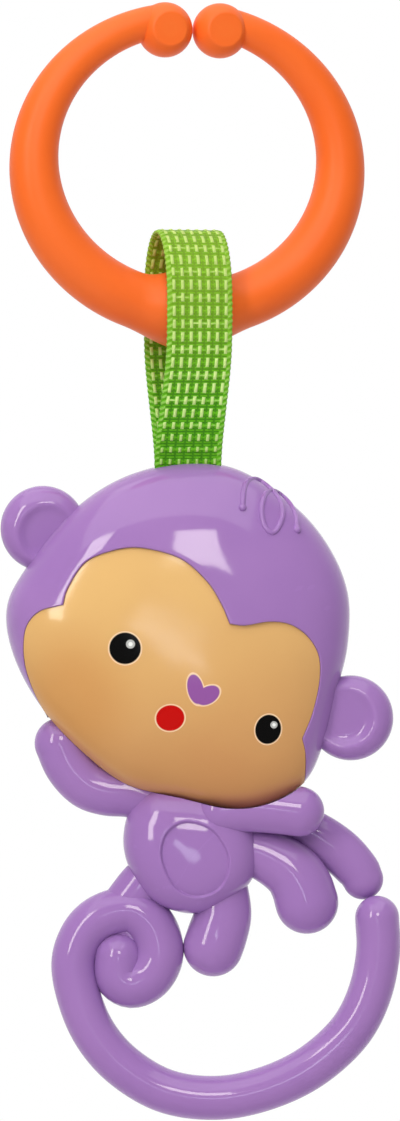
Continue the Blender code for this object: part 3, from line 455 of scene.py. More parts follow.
def moulded(name, colour, deep, roughness, grain, peel, shine=0.5):
    """Moulded plastic: a slow drift of tone with faint specks, fine grain in its gloss, a
    slightly uneven surface, and paler, duller wear on its raised edges."""
    look = Finish(name, IOR=1.5, Specular_IOR_Level=shine)
    drift = look.noise(55.0, 2.0).ease(0.3, 0.7)
    fine = look.noise(1500.0, 3.0)
    uneven = look.noise(240.0, 2.0)
    specks = look.noise(700.0, 4.0, 0.7).ease(0.62, 0.72)
    worn = look.start.node("ShaderNodeNewGeometry", out=POINTINESS).ease(0.52, 0.6)
    pale = tuple(min(1.0, channel * 1.25) for channel in colour)
    tone = (drift * 0.35 + specks * 0.08).blend(colour, deep)
    look.set(
        Base_Color=(worn * 0.12).blend(tone, pale),
        Roughness=fine * grain + worn * 0.05 + (roughness - grain / 2),
    )
    look.relief(uneven + fine * 0.1, peel, 0.0004)
    return look


def ellipse(x, z, centre, half, turn=0.0):
    """Distance from an ellipse's centre as a share of its half sizes, so 1 is its edge."""
    dx, dz = x - centre[0], z - centre[1]
    across = dx * math.cos(turn) + dz * math.sin(turn)
    along = dz * math.cos(turn) - dx * math.sin(turn)
    return ((across / half[0]) ** 2.0 + (along / half[1]) ** 2.0).math("SQRT")


def face_paint(colours):
    """Tan plastic that deepens towards the chin, partly a sprayed tone and partly painted shade,
    with the printed eyes, nose and mouth.
    """
    look = Finish("painted_face", IOR=1.5)
    x, _, z = look.start.axes()
    x, z = x / MM, z / MM
    # Darker towards the chin: partly the face's sprayed tone, partly painted shade under the light
    # from above
    drop = z.ease(-96.0, -142.0)
    drift = look.noise(40.0, 2.0).ease(0.3, 0.7)
    tone = (drop * 0.85 + drift * 0.15).blend(colours.tan, colours.tan_chin_spray_and_shade)
    # A browner tone over one cheek, inside the CHEEK ellipse
    tone = (ellipse(x, z, *CHEEK).ease(1.0, 0.2) * 0.7).blend(tone, colours.cheek_brown)

    def printed(distance, ink, edge, rim):
        """Ink inside a feature's edge, and a cream line of the rim's width round it."""
        ringed = distance.ease(1 + rim + edge, 1 + rim).blend(tone, colours.cream)
        return distance.ease(1 + edge, 1 - edge).blend(ringed, ink)

    for eye, glint in zip(EYES, GLINTS):
        tone = printed(ellipse(x, z, *eye), colours.eye, 0.03, 0.08)
        spot = ellipse(x, z, *glint)
        tone = spot.ease(1.15, 0.95).blend(tone, (0.55, 0.55, 0.55))
        tone = spot.ease(0.6, 0.4).blend(tone, (0.95, 0.95, 0.95))
    mouth = ellipse(x, z, *MOUTH)
    tone = printed(mouth, colours.mouth, 0.03, 0.09)
    left, right = (ellipse(x, z, *lobe) for lobe in NOSE_LOBES)
    nose = left.math("SMOOTH_MIN", right, 0.1)
    tone = printed(nose, colours.nose, 0.05, 0.12)
    fine = look.noise(1500.0, 3.0)
    uneven = look.noise(200.0, 2.0)
    specks = look.noise(900.0, 4.0, 0.7).ease(0.66, 0.74)
    tone = (specks * 0.05).blend(tone, (0.35, 0.16, 0.07))
    raised = nose.math("MINIMUM", mouth).ease(1.1, 0.9)
    look.set(Base_Color=tone, Roughness=fine * 0.04 + 0.1)
    look.relief(uneven + fine * 0.1 + raised * 0.3, 0.05, 0.0004)
    return look


def wave(value):
    """Rises from 0 to 0.5 and falls back over each whole step of the value."""
    return value.math("FRACT").math("PINGPONG", 0.5)


def webbing(colours):
    """Woven nylon, drawn over the band's relief: warp floats in columns over weft, with looped
    selvedges.
    The weave attribute gives millimetres across and along. The weave's height sets the tone, as
    painted shade in its low gaps and a painted highlight on its raised floats. Higher up, painted
    light from above makes the floats longer and paler, and tints the top of the loop yellower."""
    look = Finish("woven_nylon", IOR=1.5, Specular_IOR_Level=0.25)
    settings = {"attribute_type": "GEOMETRY", "attribute_name": "weave"}
    across, along, _ = look.start.node("ShaderNodeAttribute", settings, None, out=1).axes()
    fibres = look.noise(2600.0, 3.0, 0.7)
    stray = look.noise(420.0, 2.0)
    _, _, z = look.start.axes()
    # Painted light from above: 0 lower down, 1 higher up. It makes the floats longer and paler
    # higher up
    up = z.ease(-0.085, -0.062)
    sway = (stray - 0.5) * 0.24
    column = across / COLUMN_PITCH + sway * 0.4
    row = along / ROW_PITCH + sway
    step = round(row)
    side, away = abs(column - round(column)), abs(row - step)
    short = abs((step * 0.5).math("FRACT")) * 2.0
    tall = 0.15 + up * 0.22 - short * 0.05
    warp = (side - up * 0.05).ease(0.2, 0.1) * (away - tall).ease(0.08, -0.04)
    bar = short * away.ease(0.15, 0.04) * (stray * 0.6 + up * 0.3)
    rung = (1.0 - short) * away.ease(0.1, 0.03) * (up * 0.2 + 0.25)
    rib = wave(along / RIB_PITCH).ease(0.1, 0.4) * side.ease(0.5, 0.3)
    body = warp.math("MAXIMUM", bar.math("MAXIMUM", rung)).math("MAXIMUM", rib * 0.3 + 0.05)
    edge = abs(across).ease(5.25, 5.55)
    loop = wave(along / LOOP_PITCH + across * 0.5).ease(0.08, 0.36)
    lift = body * (1.0 - edge) + (loop * 0.35 + 0.24) * edge
    lift = lift + (fibres - 0.5) * 0.3
    # Painted shade and highlight: the low weave is shaded to deep green, and its raised floats get
    # a painted highlight that grows stronger higher up
    tone = lift.ease(0.02, 0.42).blend(colours.green_painted_shade, colours.green)
    tone = (lift.ease(0.45, 0.8) * (up * 0.45 + 0.38)).blend(tone, colours.green_painted_highlight)
    # Painted light: the lit top of the loop is tinted yellower
    tone = (z.ease(-0.07, -0.04) * 0.4).blend(tone, colours.green_painted_top_light)
    look.set(Base_Color=tone, Roughness=fibres * 0.3 + 0.4)
    look.relief(fibres * 0.5 + lift, 0.6, 0.0003)
    return look


def zinc_steel(_):
    """Zinc-plated screw steel: a crystalline mottle of tone and gloss over fine turned lines."""
    look = Finish("screw_steel", Metallic=1.0)
    mottle = look.noise(2200.0, 3.0).ease(0.35, 0.65)
    lines = look.noise(6000.0, 1.0)
    look.set(Base_Color=mottle.blend((0.62, 0.62, 0.64), (0.46, 0.47, 0.5)))
    look.set(Roughness=mottle * 0.15 + lines * 0.1 + 0.22)
    look.relief(lines, 0.1, 0.0001)
    return look


def white_paper(_):
    """White paper that fades into the white air far from the toy."""
    look = Finish("studio_paper", Roughness=0.9)
    fleck = look.noise(40.0, 2.0).ease(0.3, 0.7)
    look.set(Base_Color=fleck.blend((0.72, 0.72, 0.72), (0.74, 0.74, 0.74)))
    x, y, _ = look.start.axes()
    far = (x * x + y * y).math("SQRT").ease(0.12, 0.42)
    tree = look.material.node_tree
    camera, glossy, through = light_paths(tree)
    seen = camera.math("MAXIMUM", glossy).math("MAXIMUM", through)
    glow = seen.node("ShaderNodeEmission", None, {"Color": (1, 1, 1, 1), "Strength": 1.0})
    lit = Value(tree, look.shader.outputs[0])
    mixed = seen.node("ShaderNodeMixShader", None, {0: far * seen, 1: lit, 2: glow})
    tree.links.new(mixed.socket, tree.nodes["Material Output"].inputs["Surface"])
    return look


def light_paths(tree):
    """1 for what the camera sees straight, in a mirror and through glass, and 0 otherwise."""
    paths = tree.nodes.new("ShaderNodeLightPath").outputs
    kinds = ("Is Camera Ray", "Is Glossy Ray", "Is Transmission Ray")
    return [Value(tree, paths[kind]) for kind in kinds]


# What makes each finish, with material names that the CAD model doesn't use
FINISHES = {
    "purple": lambda c: moulded("glossy_purple", c.purple, c.purple_deep, 0.07, 0.03, 0.02),
    "orange": lambda c: moulded("satin_orange", c.orange, c.orange_deep, 0.42, 0.08, 0.05, 0.3),
    "white": lambda c: moulded(
        "bead_white", (0.8, 0.8, 0.76), (0.72, 0.71, 0.66), 0.35, 0.08, 0.05),
    "face": face_paint,
    "webbing": webbing,
    "steel": zinc_steel,
    "paper": white_paper,
}


@cache
def finish(key):
    """The material of that finish, made once from the colours of the property group."""
    group = bpy.context.scene.rattle_colours
    colours = {name: linear(getattr(group, name)) for name in group.__annotations__}
    return FINISHES[key](SimpleNamespace(**colours)).material


# Sizes, colours and places

def length(name, description, default):
    return bpy.props.FloatProperty(
        name=name, description=description, default=default * MM, min=0.0, unit="LENGTH"
    )


def colour(name, description, default):
    return bpy.props.FloatVectorProperty(
        name=name, description=description, default=default, subtype="COLOR_GAMMA", min=0.0,
        max=255.0,
    )


class RattleSizes(bpy.types.PropertyGroup):
    ring_half_width: length("Ring half width", "Ring centre to its tube, across", 30.1)
    ring_half_height: length("Ring half height", "Ring centre to its tube, upwards", 27.6)
    tube_top: length("Tube at the knobs", "Radius of the ring's tube near its knobs", 3.15)
    tube_side: length("Tube at the sides", "Radius of the ring's tube at its sides", 4.65)
    tube_bottom: length("Tube at the bottom", "Radius of the ring's tube at its bottom", 5.4)
    knob: length("Knob radius", "Radius of the two round knobs", 5.25)
    knob_drop: length("Knob drop", "Height of the tube's line over the knobs' middle", 1.7)
    split: length("Split place", "How far right of the middle the ring opens", 0.9)
    knuckle: length("Knuckle radius", "Radius of the swelling under the strap", 7.8)
    knuckle_half: length("Knuckle half length", "Half the swelling's length", 11.0)
    strap_width: length("Webbing width", "Width of the woven strap", 12.7)
    strap_thick: length("Webbing thickness", "Thickness of the woven strap", 1.2)
    strap_slack: length("Webbing slack", "Height of the loop over the knuckle", 6.3)
    strap_drop: length("Webbing drop", "Knuckle's line to the top of the head", 29.2)
    pin_radius: length("Pin radius", "Radius of the pin that holds the webbing", 1.5)
    pin_depth: length("Pin depth", "Top of the head to the pin", 5.6)
    head_x: length("Head shift", "Head centre to the right of the ring's middle", -1.5)
    head_width: length("Head width", "Width of the head without its ears", 65.3)
    head_height: length("Head height", "Height of the head", 65.6)
    head_front: length("Head front depth", "Parting plane to the front of the head", 13.5)
    head_back: length("Head back depth", "Parting plane to the back of the head", 10.5)
    face_recess: length("Face recess", "Depth of the face below the hair", 0.9)
    ear: length("Ear radius", "Radius of both ears", 8.1)
    ear_depth: length("Ear half thickness", "Half the thickness of both ears", 4.8)
    torso_x: length("Torso shift", "Torso centre to the right of the ring's middle", 0.6)
    torso_drop: length("Torso drop", "Chin to the torso's centre", 11.5)
    torso_width: length("Torso width", "Width of the torso", 25.6)
    torso_height: length("Torso height", "Height of the torso", 24.3)
    torso_front: length("Torso front depth", "Parting plane to the belly", 8.0)
    torso_back: length("Torso back depth", "Parting plane to the back", 8.0)
    tail_x: length("Tail shift", "Tail centre to the right of the torso", 4.6)
    tail_drop: length("Tail drop", "Torso centre to the tail's centre", 19.4)
    tail_width: length("Tail width", "Width of the tail's line", 58.0)
    tail_height: length("Tail height", "Height of the tail's line", 35.7)
    arm: length("Arm radius", "Radius of both arms", 4.85)
    tail: length("Tail radius", "Radius of the tail", 4.2)
    coil: length("Coil radius", "Radius of the tail's curled end", 4.5)


class RattleColours(bpy.types.PropertyGroup):
    """Screen colours, each channel from 0 to 255."""

    purple: colour("Purple", "Moulded body and hair", (168, 125, 194))
    purple_deep: colour("Deep purple", "Slow drift of the body's tone", (157, 114, 187))
    tan: colour("Tan", "Top of the face", (238, 191, 124))
    # Chin colour: partly sprayed tone, partly painted shade
    tan_chin_spray_and_shade: colour("Deep tan", "Chin", (207, 147, 95))
    # A browner tone over one cheek
    cheek_brown: colour("Blush", "Cheek", (216, 154, 90))
    cream: colour("Cream", "Fine lines round the printed features", (250, 214, 178))
    eye: colour("Eye", "Printed eyes", (3, 2, 2))
    mouth: colour("Mouth", "Printed mouth", (204, 4, 0))
    nose: colour("Nose", "Printed nose", (152, 90, 168))
    orange: colour("Orange", "Split ring", (255, 114, 42))
    orange_deep: colour("Deep orange", "Slow drift of the ring's tone", (252, 100, 26))
    green: colour("Green", "Webbing", (106, 195, 20))
    # Painted shade in the weave's gaps and a painted highlight on its raised floats
    green_painted_shade: colour("Deep green", "Gaps in the weave", (64, 142, 6))
    green_painted_highlight: colour("Light green", "Tops of the warp", (232, 255, 170))
    # Painted light on the top of the loop
    green_painted_top_light: colour("Yellow green", "Tint of the lit top of the loop", (170, 192, 56))


class Places:
    """Heights and centres of the pieces, worked out from the sizes as one chain."""

    def __init__(self):
        self.s = s = bpy.context.scene.rattle_sizes
        share = (s.knob + CLEARANCE) / s.ring_half_width
        self.ring_z = s.knob + s.knob_drop - s.ring_half_height * math.sqrt(1 - share**2)
        self.knuckle_z = self.ring_z - s.ring_half_height
        self.head_top = self.knuckle_z - s.strap_drop
        self.pin_z = self.head_top - s.pin_depth
        self.head_loop = loop_of(HEAD_SHAPE, s.head_width, s.head_height)
        self.head_scale = drawn_scale(HEAD_SHAPE, s.head_width, s.head_height)
        self.head = (s.head_x, self.head_top - float(reach(self.head_loop, math.pi / 2)))
        chin = self.head[1] - float(reach(self.head_loop, -math.pi / 2))
        self.torso = (s.torso_x, chin - s.torso_drop)
        self.torso_loop = loop_of(TORSO_SHAPE, s.torso_width, s.torso_height)
        self.tail = (self.torso[0] + s.tail_x, self.torso[1] - s.tail_drop)


# Pieces

def tube(path, radii, sides=48, flatness=1.0, half=0):
    """Round sections square to a path that lies along the XZ plane: each point is the path's
    point plus side * r * cos(a), and r * sin(a) * flatness in depth, with half-round ends.
    On the inner side of a bend the section stops short of the bend's own centre. With half
    at -1 or 1, the section is cut flat at the parting plane and its front or rear is kept."""
    ahead = np.gradient(path, axis=0)
    steps = np.linalg.norm(ahead, axis=1)
    ahead[:, 1] = 0.0
    ahead /= np.linalg.norm(ahead, axis=1)[:, None]
    bend = np.gradient(np.unwrap(np.arctan2(ahead[:, 2], ahead[:, 0]))) / steps
    window = np.hanning(19)[1:-1] / np.hanning(19).sum()
    bend = np.convolve(np.pad(bend, 8, mode="edge"), window, mode="valid")
    turn = np.radians(np.linspace(0, 88, END_ROWS + 1)[1:])
    last = len(path) - 1
    pick = np.pad(np.arange(last + 1), END_ROWS, mode="edge")
    shift = np.concatenate([-np.sin(turn[::-1]), np.zeros(last + 1), np.sin(turn)])
    share = np.concatenate([np.cos(turn[::-1]), np.ones(last + 1), np.cos(turn)])
    spots = path[pick] + ahead[pick] * (shift * radii[pick])[:, None]
    sideways, deep = polar((radii[pick] * share)[:, None], turns(sides))
    room = BEND_ROOM / np.maximum(np.abs(bend[pick]), 1e-6)[:, None]
    inner = np.sign(bend[pick])[:, None] * sideways > 0
    sideways = np.where(inner, sideways / (1 + np.abs(sideways / room) ** 6) ** (1 / 6), sideways)
    x = spots[:, :1] - ahead[pick, 2:] * sideways
    z = spots[:, 2:] + ahead[pick, :1] * sideways
    y = spots[:, 1:2] + deep * flatness
    if half:
        y = half * np.maximum(half * y, PARTING)
    return np.stack([x, y, z], axis=-1)


def limb(skin, shape, radius, centre, y=0.0, flatness=0.82, half=0):
    """A limb along a drawn centreline of x, z and share of its radius."""
    rows = smooth(shape, 12)
    rows[:, :2] *= MM
    total = np.linalg.norm(np.diff(rows[:, :2], axis=0), axis=1).sum()
    rows = even(rows, max(12, round(total / (0.6 * MM))))
    path = at(centre, rows[:, 0], y, rows[:, 1])
    skin.grid(tube(path, rows[:, 2] * radius, flatness=flatness, half=half))


def ring_surface(p):
    """The tube's radius eases from thin at the knobs to thick at the bottom as a parabola of
    the height, with a raised cosine for the knuckle; each knob is a turned ball with flats."""
    s = p.s
    step = s.knob + CLEARANCE
    first = math.acos((s.split + step) / s.ring_half_width)
    last = math.acos((s.split - step) / s.ring_half_width) - 2 * math.pi
    angle = np.linspace(first, last, 260)
    x = s.ring_half_width * np.cos(angle)
    low = -np.sin(angle)
    radii = s.tube_side + low * (s.tube_bottom - s.tube_top) / 2
    radii += low**2 * ((s.tube_bottom + s.tube_top) / 2 - s.tube_side)
    swell = np.cos(np.clip(np.abs(x) / s.knuckle_half, 0, 1) * math.pi / 2) ** 2
    radii += np.where(low > 0, (s.knuckle - radii) * swell, 0)
    path = at((0, p.ring_z), x, 0.0, s.ring_half_height * np.sin(angle))
    skin = Skin()
    skin.grid(tube(path, radii, 56))
    flat = 3.2 * MM
    face = math.sqrt(s.knob**2 - flat**2)
    tilt = np.linspace(math.asin(face / s.knob), -math.asin(face / s.knob), 25)
    inside = flat * np.array([0.0, 0.35, 0.7, 0.94])
    radius = np.concatenate([inside, s.knob * np.cos(tilt), inside[::-1]])
    high = np.concatenate([np.full(4, face), s.knob * np.sin(tilt), np.full(4, -face)])
    x, z = polar(radius[:, None], turns(56))
    for side in (-1, 1):
        skin.grid(at((s.split + side * step, s.knob), x, high[:, None], z))
    ring = skin.build("split_ring", "orange", crease=50.0)
    ring.data.transform(Matrix.Rotation(RING_YAW, 4, "Z"))
    return ring


def strap_line(p):
    """The loop's centreline as depth and height, starting under the pin."""
    s = p.s
    half = s.strap_thick / 2
    leg = s.knuckle + 2 * CLEARANCE + half
    wrap = s.pin_radius + 2 * CLEARANCE + half
    bend = p.knuckle_z + 2.0 * MM
    top = p.knuckle_z + s.knuckle + s.strap_slack + half
    a = np.linspace(0, math.pi / 2, 33)
    arch = np.stack([leg * np.sin(a), bend + (top - bend) * np.cos(a)], axis=1)
    taper = [(share * leg, p.knuckle_z - fall * s.strap_drop) for share, fall in STRAP_TAPER]
    legs = smooth([(leg, bend)] + taper + [(wrap, p.head_top), (wrap, p.pin_z)], 16)
    under = np.stack([wrap * np.cos(a), p.pin_z - wrap * np.sin(a)], axis=1)
    side = np.vstack([arch[:-1], legs[:-1], under])
    other = side[-2:0:-1] * (-1, 1)
    return np.vstack([side[::-1], other[::-1]])


def weave_height(across, along, half_width):
    """The weave's relief from 0 to 1, from millimetres across and along. Seven warp columns,
    each a narrow power of a cosine, surface as floats in every row, long and short by turns.
    The short rows carry a bar of weft across, and low ribs of weft fill the rest. The
    selvedge is a cord of small loops."""
    column, row = across / COLUMN_PITCH, along / ROW_PITCH
    step = np.round(row)
    short = step % 2
    side = np.cos(math.pi * (column - np.round(column)))
    up = np.cos(math.pi * (row - step))
    warp = side**4 * np.clip(2.2 * up - 0.75 - 0.35 * short, 0, 1)
    bar = short * np.clip(6 * up - 5.2, 0, 1) * 0.75
    rung = (1 - short) * np.clip(6 * up - 5.4, 0, 1) * 0.45
    rib = 0.12 + 0.3 * np.abs(np.cos(math.pi * along / RIB_PITCH)) * side**0.5
    body = np.maximum(np.maximum(warp, bar), np.maximum(rung, rib))
    edge = np.clip((np.abs(across) - half_width + 1.0) / 0.3, 0, 1)
    loops = 0.35 + 0.55 * np.abs(np.sin(math.pi * along / LOOP_PITCH))
    return body * (1 - edge) + loops * edge


def strap_surface(p):
    """A band carried along the loop: each section is a superellipse of the webbing's width and
    thickness, raised along its own normal by the weave, then turned about Z by the untwist."""
    s = p.s
    rows, columns = 520, 76
    line = even(strap_line(p), rows, closed=True)
    ahead = np.roll(line, -1, axis=0) - np.roll(line, 1, axis=0)
    ahead /= np.linalg.norm(ahead, axis=1)[:, None]
    normal = np.stack([-ahead[:, 1], ahead[:, 0]], axis=1)
    total = np.linalg.norm(np.roll(line, -1, axis=0) - line, axis=1).sum()
    pairs = round(total / (2 * ROW_PITCH * MM))
    along = (np.arange(rows) / rows * pairs * 2 * ROW_PITCH)[:, None]
    half, thick = s.strap_width / 2, s.strap_thick / 2
    run = np.linspace(-1, 1, columns)
    across = np.concatenate([run, run[::-1]]) * (half - 0.1 * MM)
    side = np.repeat([1.0, -1.0], columns)
    rim = np.sqrt(np.clip(1 - np.abs(across / half) ** 10, 0.02, 1))
    mark = np.broadcast_arrays(across / MM, along)
    high = weave_height(*mark, half / MM)
    scallop = 0.16 * MM * np.abs(np.sin(math.pi * along / LOOP_PITCH))
    wide = across + np.sign(across) * np.clip(np.abs(across) / half - 0.9, 0, 1) * 10 * scallop
    out = side * (thick * rim * (0.5 + 0.5 * high))
    depth = line[:, :1] + normal[:, :1] * out
    z = line[:, 1:] + normal[:, 1:] * out
    share = np.clip((z - p.head_top) / (s.strap_drop * 0.8), 0, 1)
    turn = RING_YAW * np.sin(math.pi / 2 * share)
    x = wide * np.cos(turn) - depth * np.sin(turn)
    y = wide * np.sin(turn) + depth * np.cos(turn)
    mark, points = np.stack([*mark, high], axis=-1), np.stack([x, y, z], axis=-1)
    return solid("webbing_loop", points, "webbing", 80.0, along=True, mark=mark)


def ear_spots(p):
    """Each ear's direction from the head's centre and its middle, past the head's outline."""
    for degrees, past in ((142.4, 1.8), (-26.2, 3.8)):
        angle = math.radians(degrees)
        away = float(reach(p.head_loop, angle)) + past * MM
        yield angle, polar(away, angle, p.head)


def ear(skin, p, angle, spot, side):
    """Half a rounded disc: y = depth * (1 - r**n)**(1/n), with n = 2 behind and more in front.
    The front is the smooth minimum of that and its dish, set towards the head: a floor that
    faces slightly down, with a rounded wall that rises past the dish's radius."""
    s = p.s
    r = np.sin(np.linspace(0, math.pi / 2, 30))[1:, None]
    x, z = polar(s.ear * r, turns(72))
    full = EAR_FULL if side < 0 else 2.0
    y = s.ear_depth * np.clip(1 - r**full, 0, 1) ** (1 / full) + 0 * x
    if side < 0:
        shift, dish, soft = 1.5 * MM, 4.7 * MM, 0.4 * MM
        away = np.hypot(x + shift * math.cos(angle), z + shift * math.sin(angle))
        rise = 1.2 * soft * np.logaddexp(0, (away - dish) / soft)
        floor = s.ear_depth - 1.6 * MM + 0.12 * z + rise
        y = -soft * np.logaddexp(-y / soft, -floor / soft)
    y = side * np.maximum(y, PARTING)
    y[-1] = side * PARTING
    skin.grid(at(spot, x, y, z))


def hairline(p):
    """The face opening: the middle that its rays leave from, their angles and lengths."""
    middle = np.array([0.0, -5.0 * MM])
    edge = np.vstack([smooth(run, 14)[:-1] for run in HAIRLINE[:-1]] + [smooth(HAIRLINE[-1], 14)])
    edge = edge * p.head_scale - middle
    angle = np.unwrap(np.arctan2(edge[:, 1], edge[:, 0]))
    return middle, angle, np.hypot(edge[:, 0], edge[:, 1])


def hood_surface(p):
    """Sections along rays from the face's middle, closed on themselves: the wall of the face
    opening, a fillet, the dome out to the rim, and the inner dome back to the wall. The
    opening's last rays, past its halfway, reach the rim and have no section."""
    s = p.s
    middle, angle, inner = hairline(p)
    rim = reach(p.head_loop - middle, angle)
    halfway = 200
    count = halfway + np.argmax(np.append((rim - inner)[halfway:], -1) < 0.1 * MM)
    angle, inner, rim = angle[:count], inner[:count], rim[:count]
    soft = np.minimum(0.35 * MM, 0.4 * (rim - inner))
    lip = np.radians(np.linspace(90, 0, 7))[:-1, None]
    out = inner + soft + (rim - inner - soft) * outwards(44, 2.3)
    away = np.vstack([inner + soft * (1 - np.sin(lip)), out, out[::-3][:-1], inner[None]])
    x, z = polar(away, angle, middle)
    high = crown(x, z, p.head_loop, s.head_front, HEAD_FULL)
    high[: len(lip)] -= soft * (1 - np.cos(lip))
    behind = slice(len(lip) + len(out), None)
    loop = inset(p.head_loop, HOOD_WALL)
    high[behind] = crown(x[behind], z[behind], loop, s.head_front - HOOD_WALL, HEAD_FULL)
    points = at(p.head, x, -np.maximum(high, PARTING), z)
    hood = solid("hood_shell", points.transpose(1, 0, 2), "purple")
    cut(hood, strap_cutter(p))
    skin = Skin()
    for turned, spot in ear_spots(p):
        ear(skin, p, turned, spot, -1)
    x, z = even(smooth(HAIR_CURL, 12) * p.head_scale, 150).T
    path = at(p.head, x, -crown(x, z, p.head_loop, s.head_front, HEAD_FULL), z)
    skin.grid(tube(path, np.full(len(path), 0.5 * MM), 20))
    for end in (path[0], path[-1]):
        small_ball(skin, end, 0.75 * MM)
    return joined("head_hood", [hood, skin.build("hood_details", "purple")])


def small_ball(skin, spot, radius):
    """A sphere from its two angles."""
    tilt = np.linspace(0, math.pi, 14)[1:-1, None]
    x, z = polar(radius * np.sin(tilt), turns(24))
    skin.grid(at((spot[0], spot[2]), x, spot[1] + radius * np.cos(tilt), z))


def strap_cutter(p):
    """A box for the slot in the top of the head, from the pin upwards, with room for the
    webbing round the pin."""
    s = p.s
    deep = s.pin_radius + 2 * CLEARANCE + s.strap_thick + CLEARANCE
    across = s.strap_width / 2 + CLEARANCE
    return block("slot", (-across, -deep, p.pin_z), (across, deep, p.head_top + OUTSIDE))


def face_surface(p):
    """Rays from the face's middle out to the opening, or to the rim below the chin. The front
    is the head's dome less the recess, a little raised at its rim, and the back lies a wall
    behind it."""
    s = p.s
    middle, angle, inner = hairline(p)
    turned = math.copysign(2 * math.pi, angle[-1] - angle[0])
    chin = np.linspace(angle[-1], angle[0] + turned, 140)[1:-1]
    order = np.concatenate([angle, chin])
    edge = np.concatenate([inner - 0.06 * MM, np.full(len(chin), 1.0)])
    edge = np.minimum(edge, reach(p.head_loop - middle, order) - 0.03 * MM)
    out = edge * outwards(56, 1.9)[1:]
    x, z = polar(np.vstack([out, out[::-2][1:]]), order, middle)
    raised, wall = 0.985, s.face_recess + FACE_WALL
    high = crown(raised * x, raised * z, p.head_loop, s.head_front - s.face_recess, HEAD_FULL)
    hollow = crown(x, z, inset(p.head_loop, wall), s.head_front - wall, HEAD_FULL)
    high[len(out) :] = hollow[len(out) :]
    return solid("face_front", at(p.head, x, -np.maximum(high, PARTING), z), "face", 60.0)


def torso_surface(p):
    """Rays from the torso's centre: y is the dome's height, less the belly's recess inside its
    oval, with a smooth step between them. The arms end at the parting plane, and the head's
    outline is cut out of all three."""
    s = p.s
    turn = turns(320)
    oval = reach(loop_of(BELLY_SHAPE, 12.8 * MM, 14.2 * MM), turn)
    rim = reach(p.torso_loop, turn)
    step, recess = 0.28 * MM, 0.75 * MM
    floor = (oval - step) * np.linspace(0.03, 0.999, 16)[:, None]
    k = np.linspace(0, 1, 8)[:, None]
    edge = oval - step + 2 * step * k
    way = outwards(36, 2.3)[1:]
    outer = oval + step + (rim - oval - step) * way
    sink = np.vstack([np.ones((len(floor), 1)), 1 - k * k * (3 - 2 * k), 0 * way])
    x, z = polar(np.vstack([floor, edge, outer]), turn)
    high = crown(x, z, p.torso_loop, s.torso_front, TORSO_FULL) - recess * sink
    pieces = [solid("torso", at(p.torso, x, -np.maximum(high, PARTING), z), "purple")]
    for shape, y in ((LEFT_ARM, 0.0), (RIGHT_ARM, -4.4 * MM)):
        skin = Skin()
        limb(skin, shape, s.arm, p.torso, y=y)
        arm = skin.build("arm", "purple")
        pieces.append(cut(arm, block("rear", (-FAR, -PARTING, -0.2), (FAR, FAR, -0.08))))
    chin = inset(p.head_loop, -0.02 * MM)
    for piece in pieces:
        cut(piece, prism("chin", chin, p.head, -FAR, FAR))
    return joined("torso_front", pieces)


def legs_surface(p, half):
    """Each leg, the stub and the tail with its coil as one tube, kept on one side of the
    parting plane. The tail swells over its last points, and the far leg lies behind."""
    s = p.s
    skin = Skin()
    scale = drawn_scale(TAIL_PATH, s.tail_width, s.tail_height, closed=False) / MM
    tail = [(x * scale[0], z * scale[1], 1 + 0.03 * max(0, k - 13))
            for k, (x, z) in enumerate(TAIL_PATH)]
    tail += [(x, z, share * s.coil / s.tail) for x, z, share in COIL[1:]]
    limb(skin, tail, s.tail, p.tail, flatness=1.0, half=half)
    for shape, radius, flat in (
        (STUB, 4.4, 0.82), (TAIL_WEB, 3.4, 0.5), (LEG_A, 6.0, 0.82), (LEG_C, 5.7, 0.82),
    ):
        limb(skin, shape, radius * MM, p.torso, flatness=flat, half=half)
    if half > 0:
        radius = 4.15 * MM
        limb(skin, LEG_B, radius, p.torso, y=0.76 * radius + 2 * PARTING, flatness=0.74)
    return skin.build("legs_tail_front" if half < 0 else "legs_tail_rear", "purple")


def back_dome(p, depth, *profile):
    """The head's dome behind and the smaller dome inside it, joined round their rim: rays run
    out to the outline and back, and y is each dome's height."""
    out = reach(p.head_loop, turns(280)) * outwards(44, 2.0, 0.02)
    x, z = polar(np.vstack([out, out[::-2][1:]]), turns(280))
    high = crown(x, z, p.head_loop, depth, *profile)
    hollow = crown(x, z, inset(p.head_loop, BACK_WALL), depth - BACK_WALL, *profile)
    high[len(out) :] = hollow[len(out) :]
    return solid("back_dome", at(p.head, x, np.maximum(high, PARTING), z), "purple")


def post(skin, spot, top):
    """A screw post: a closed turned section with the pocket's wall, floor and hole, whose
    upper edge follows the shell."""
    x, z = polar(np.array([HOLE, HOLE, POCKET, POCKET, POST, POST])[:, None], turns(48))
    edge = top(spot[0] + x, spot[1] + z) - 0.4 * MM
    low, seat = np.full(48, PARTING), np.full(48, SEAT)
    y = np.stack([low, seat, seat, edge[3], edge[4], low])
    skin.grid(at(spot, x, y, z), along=True)


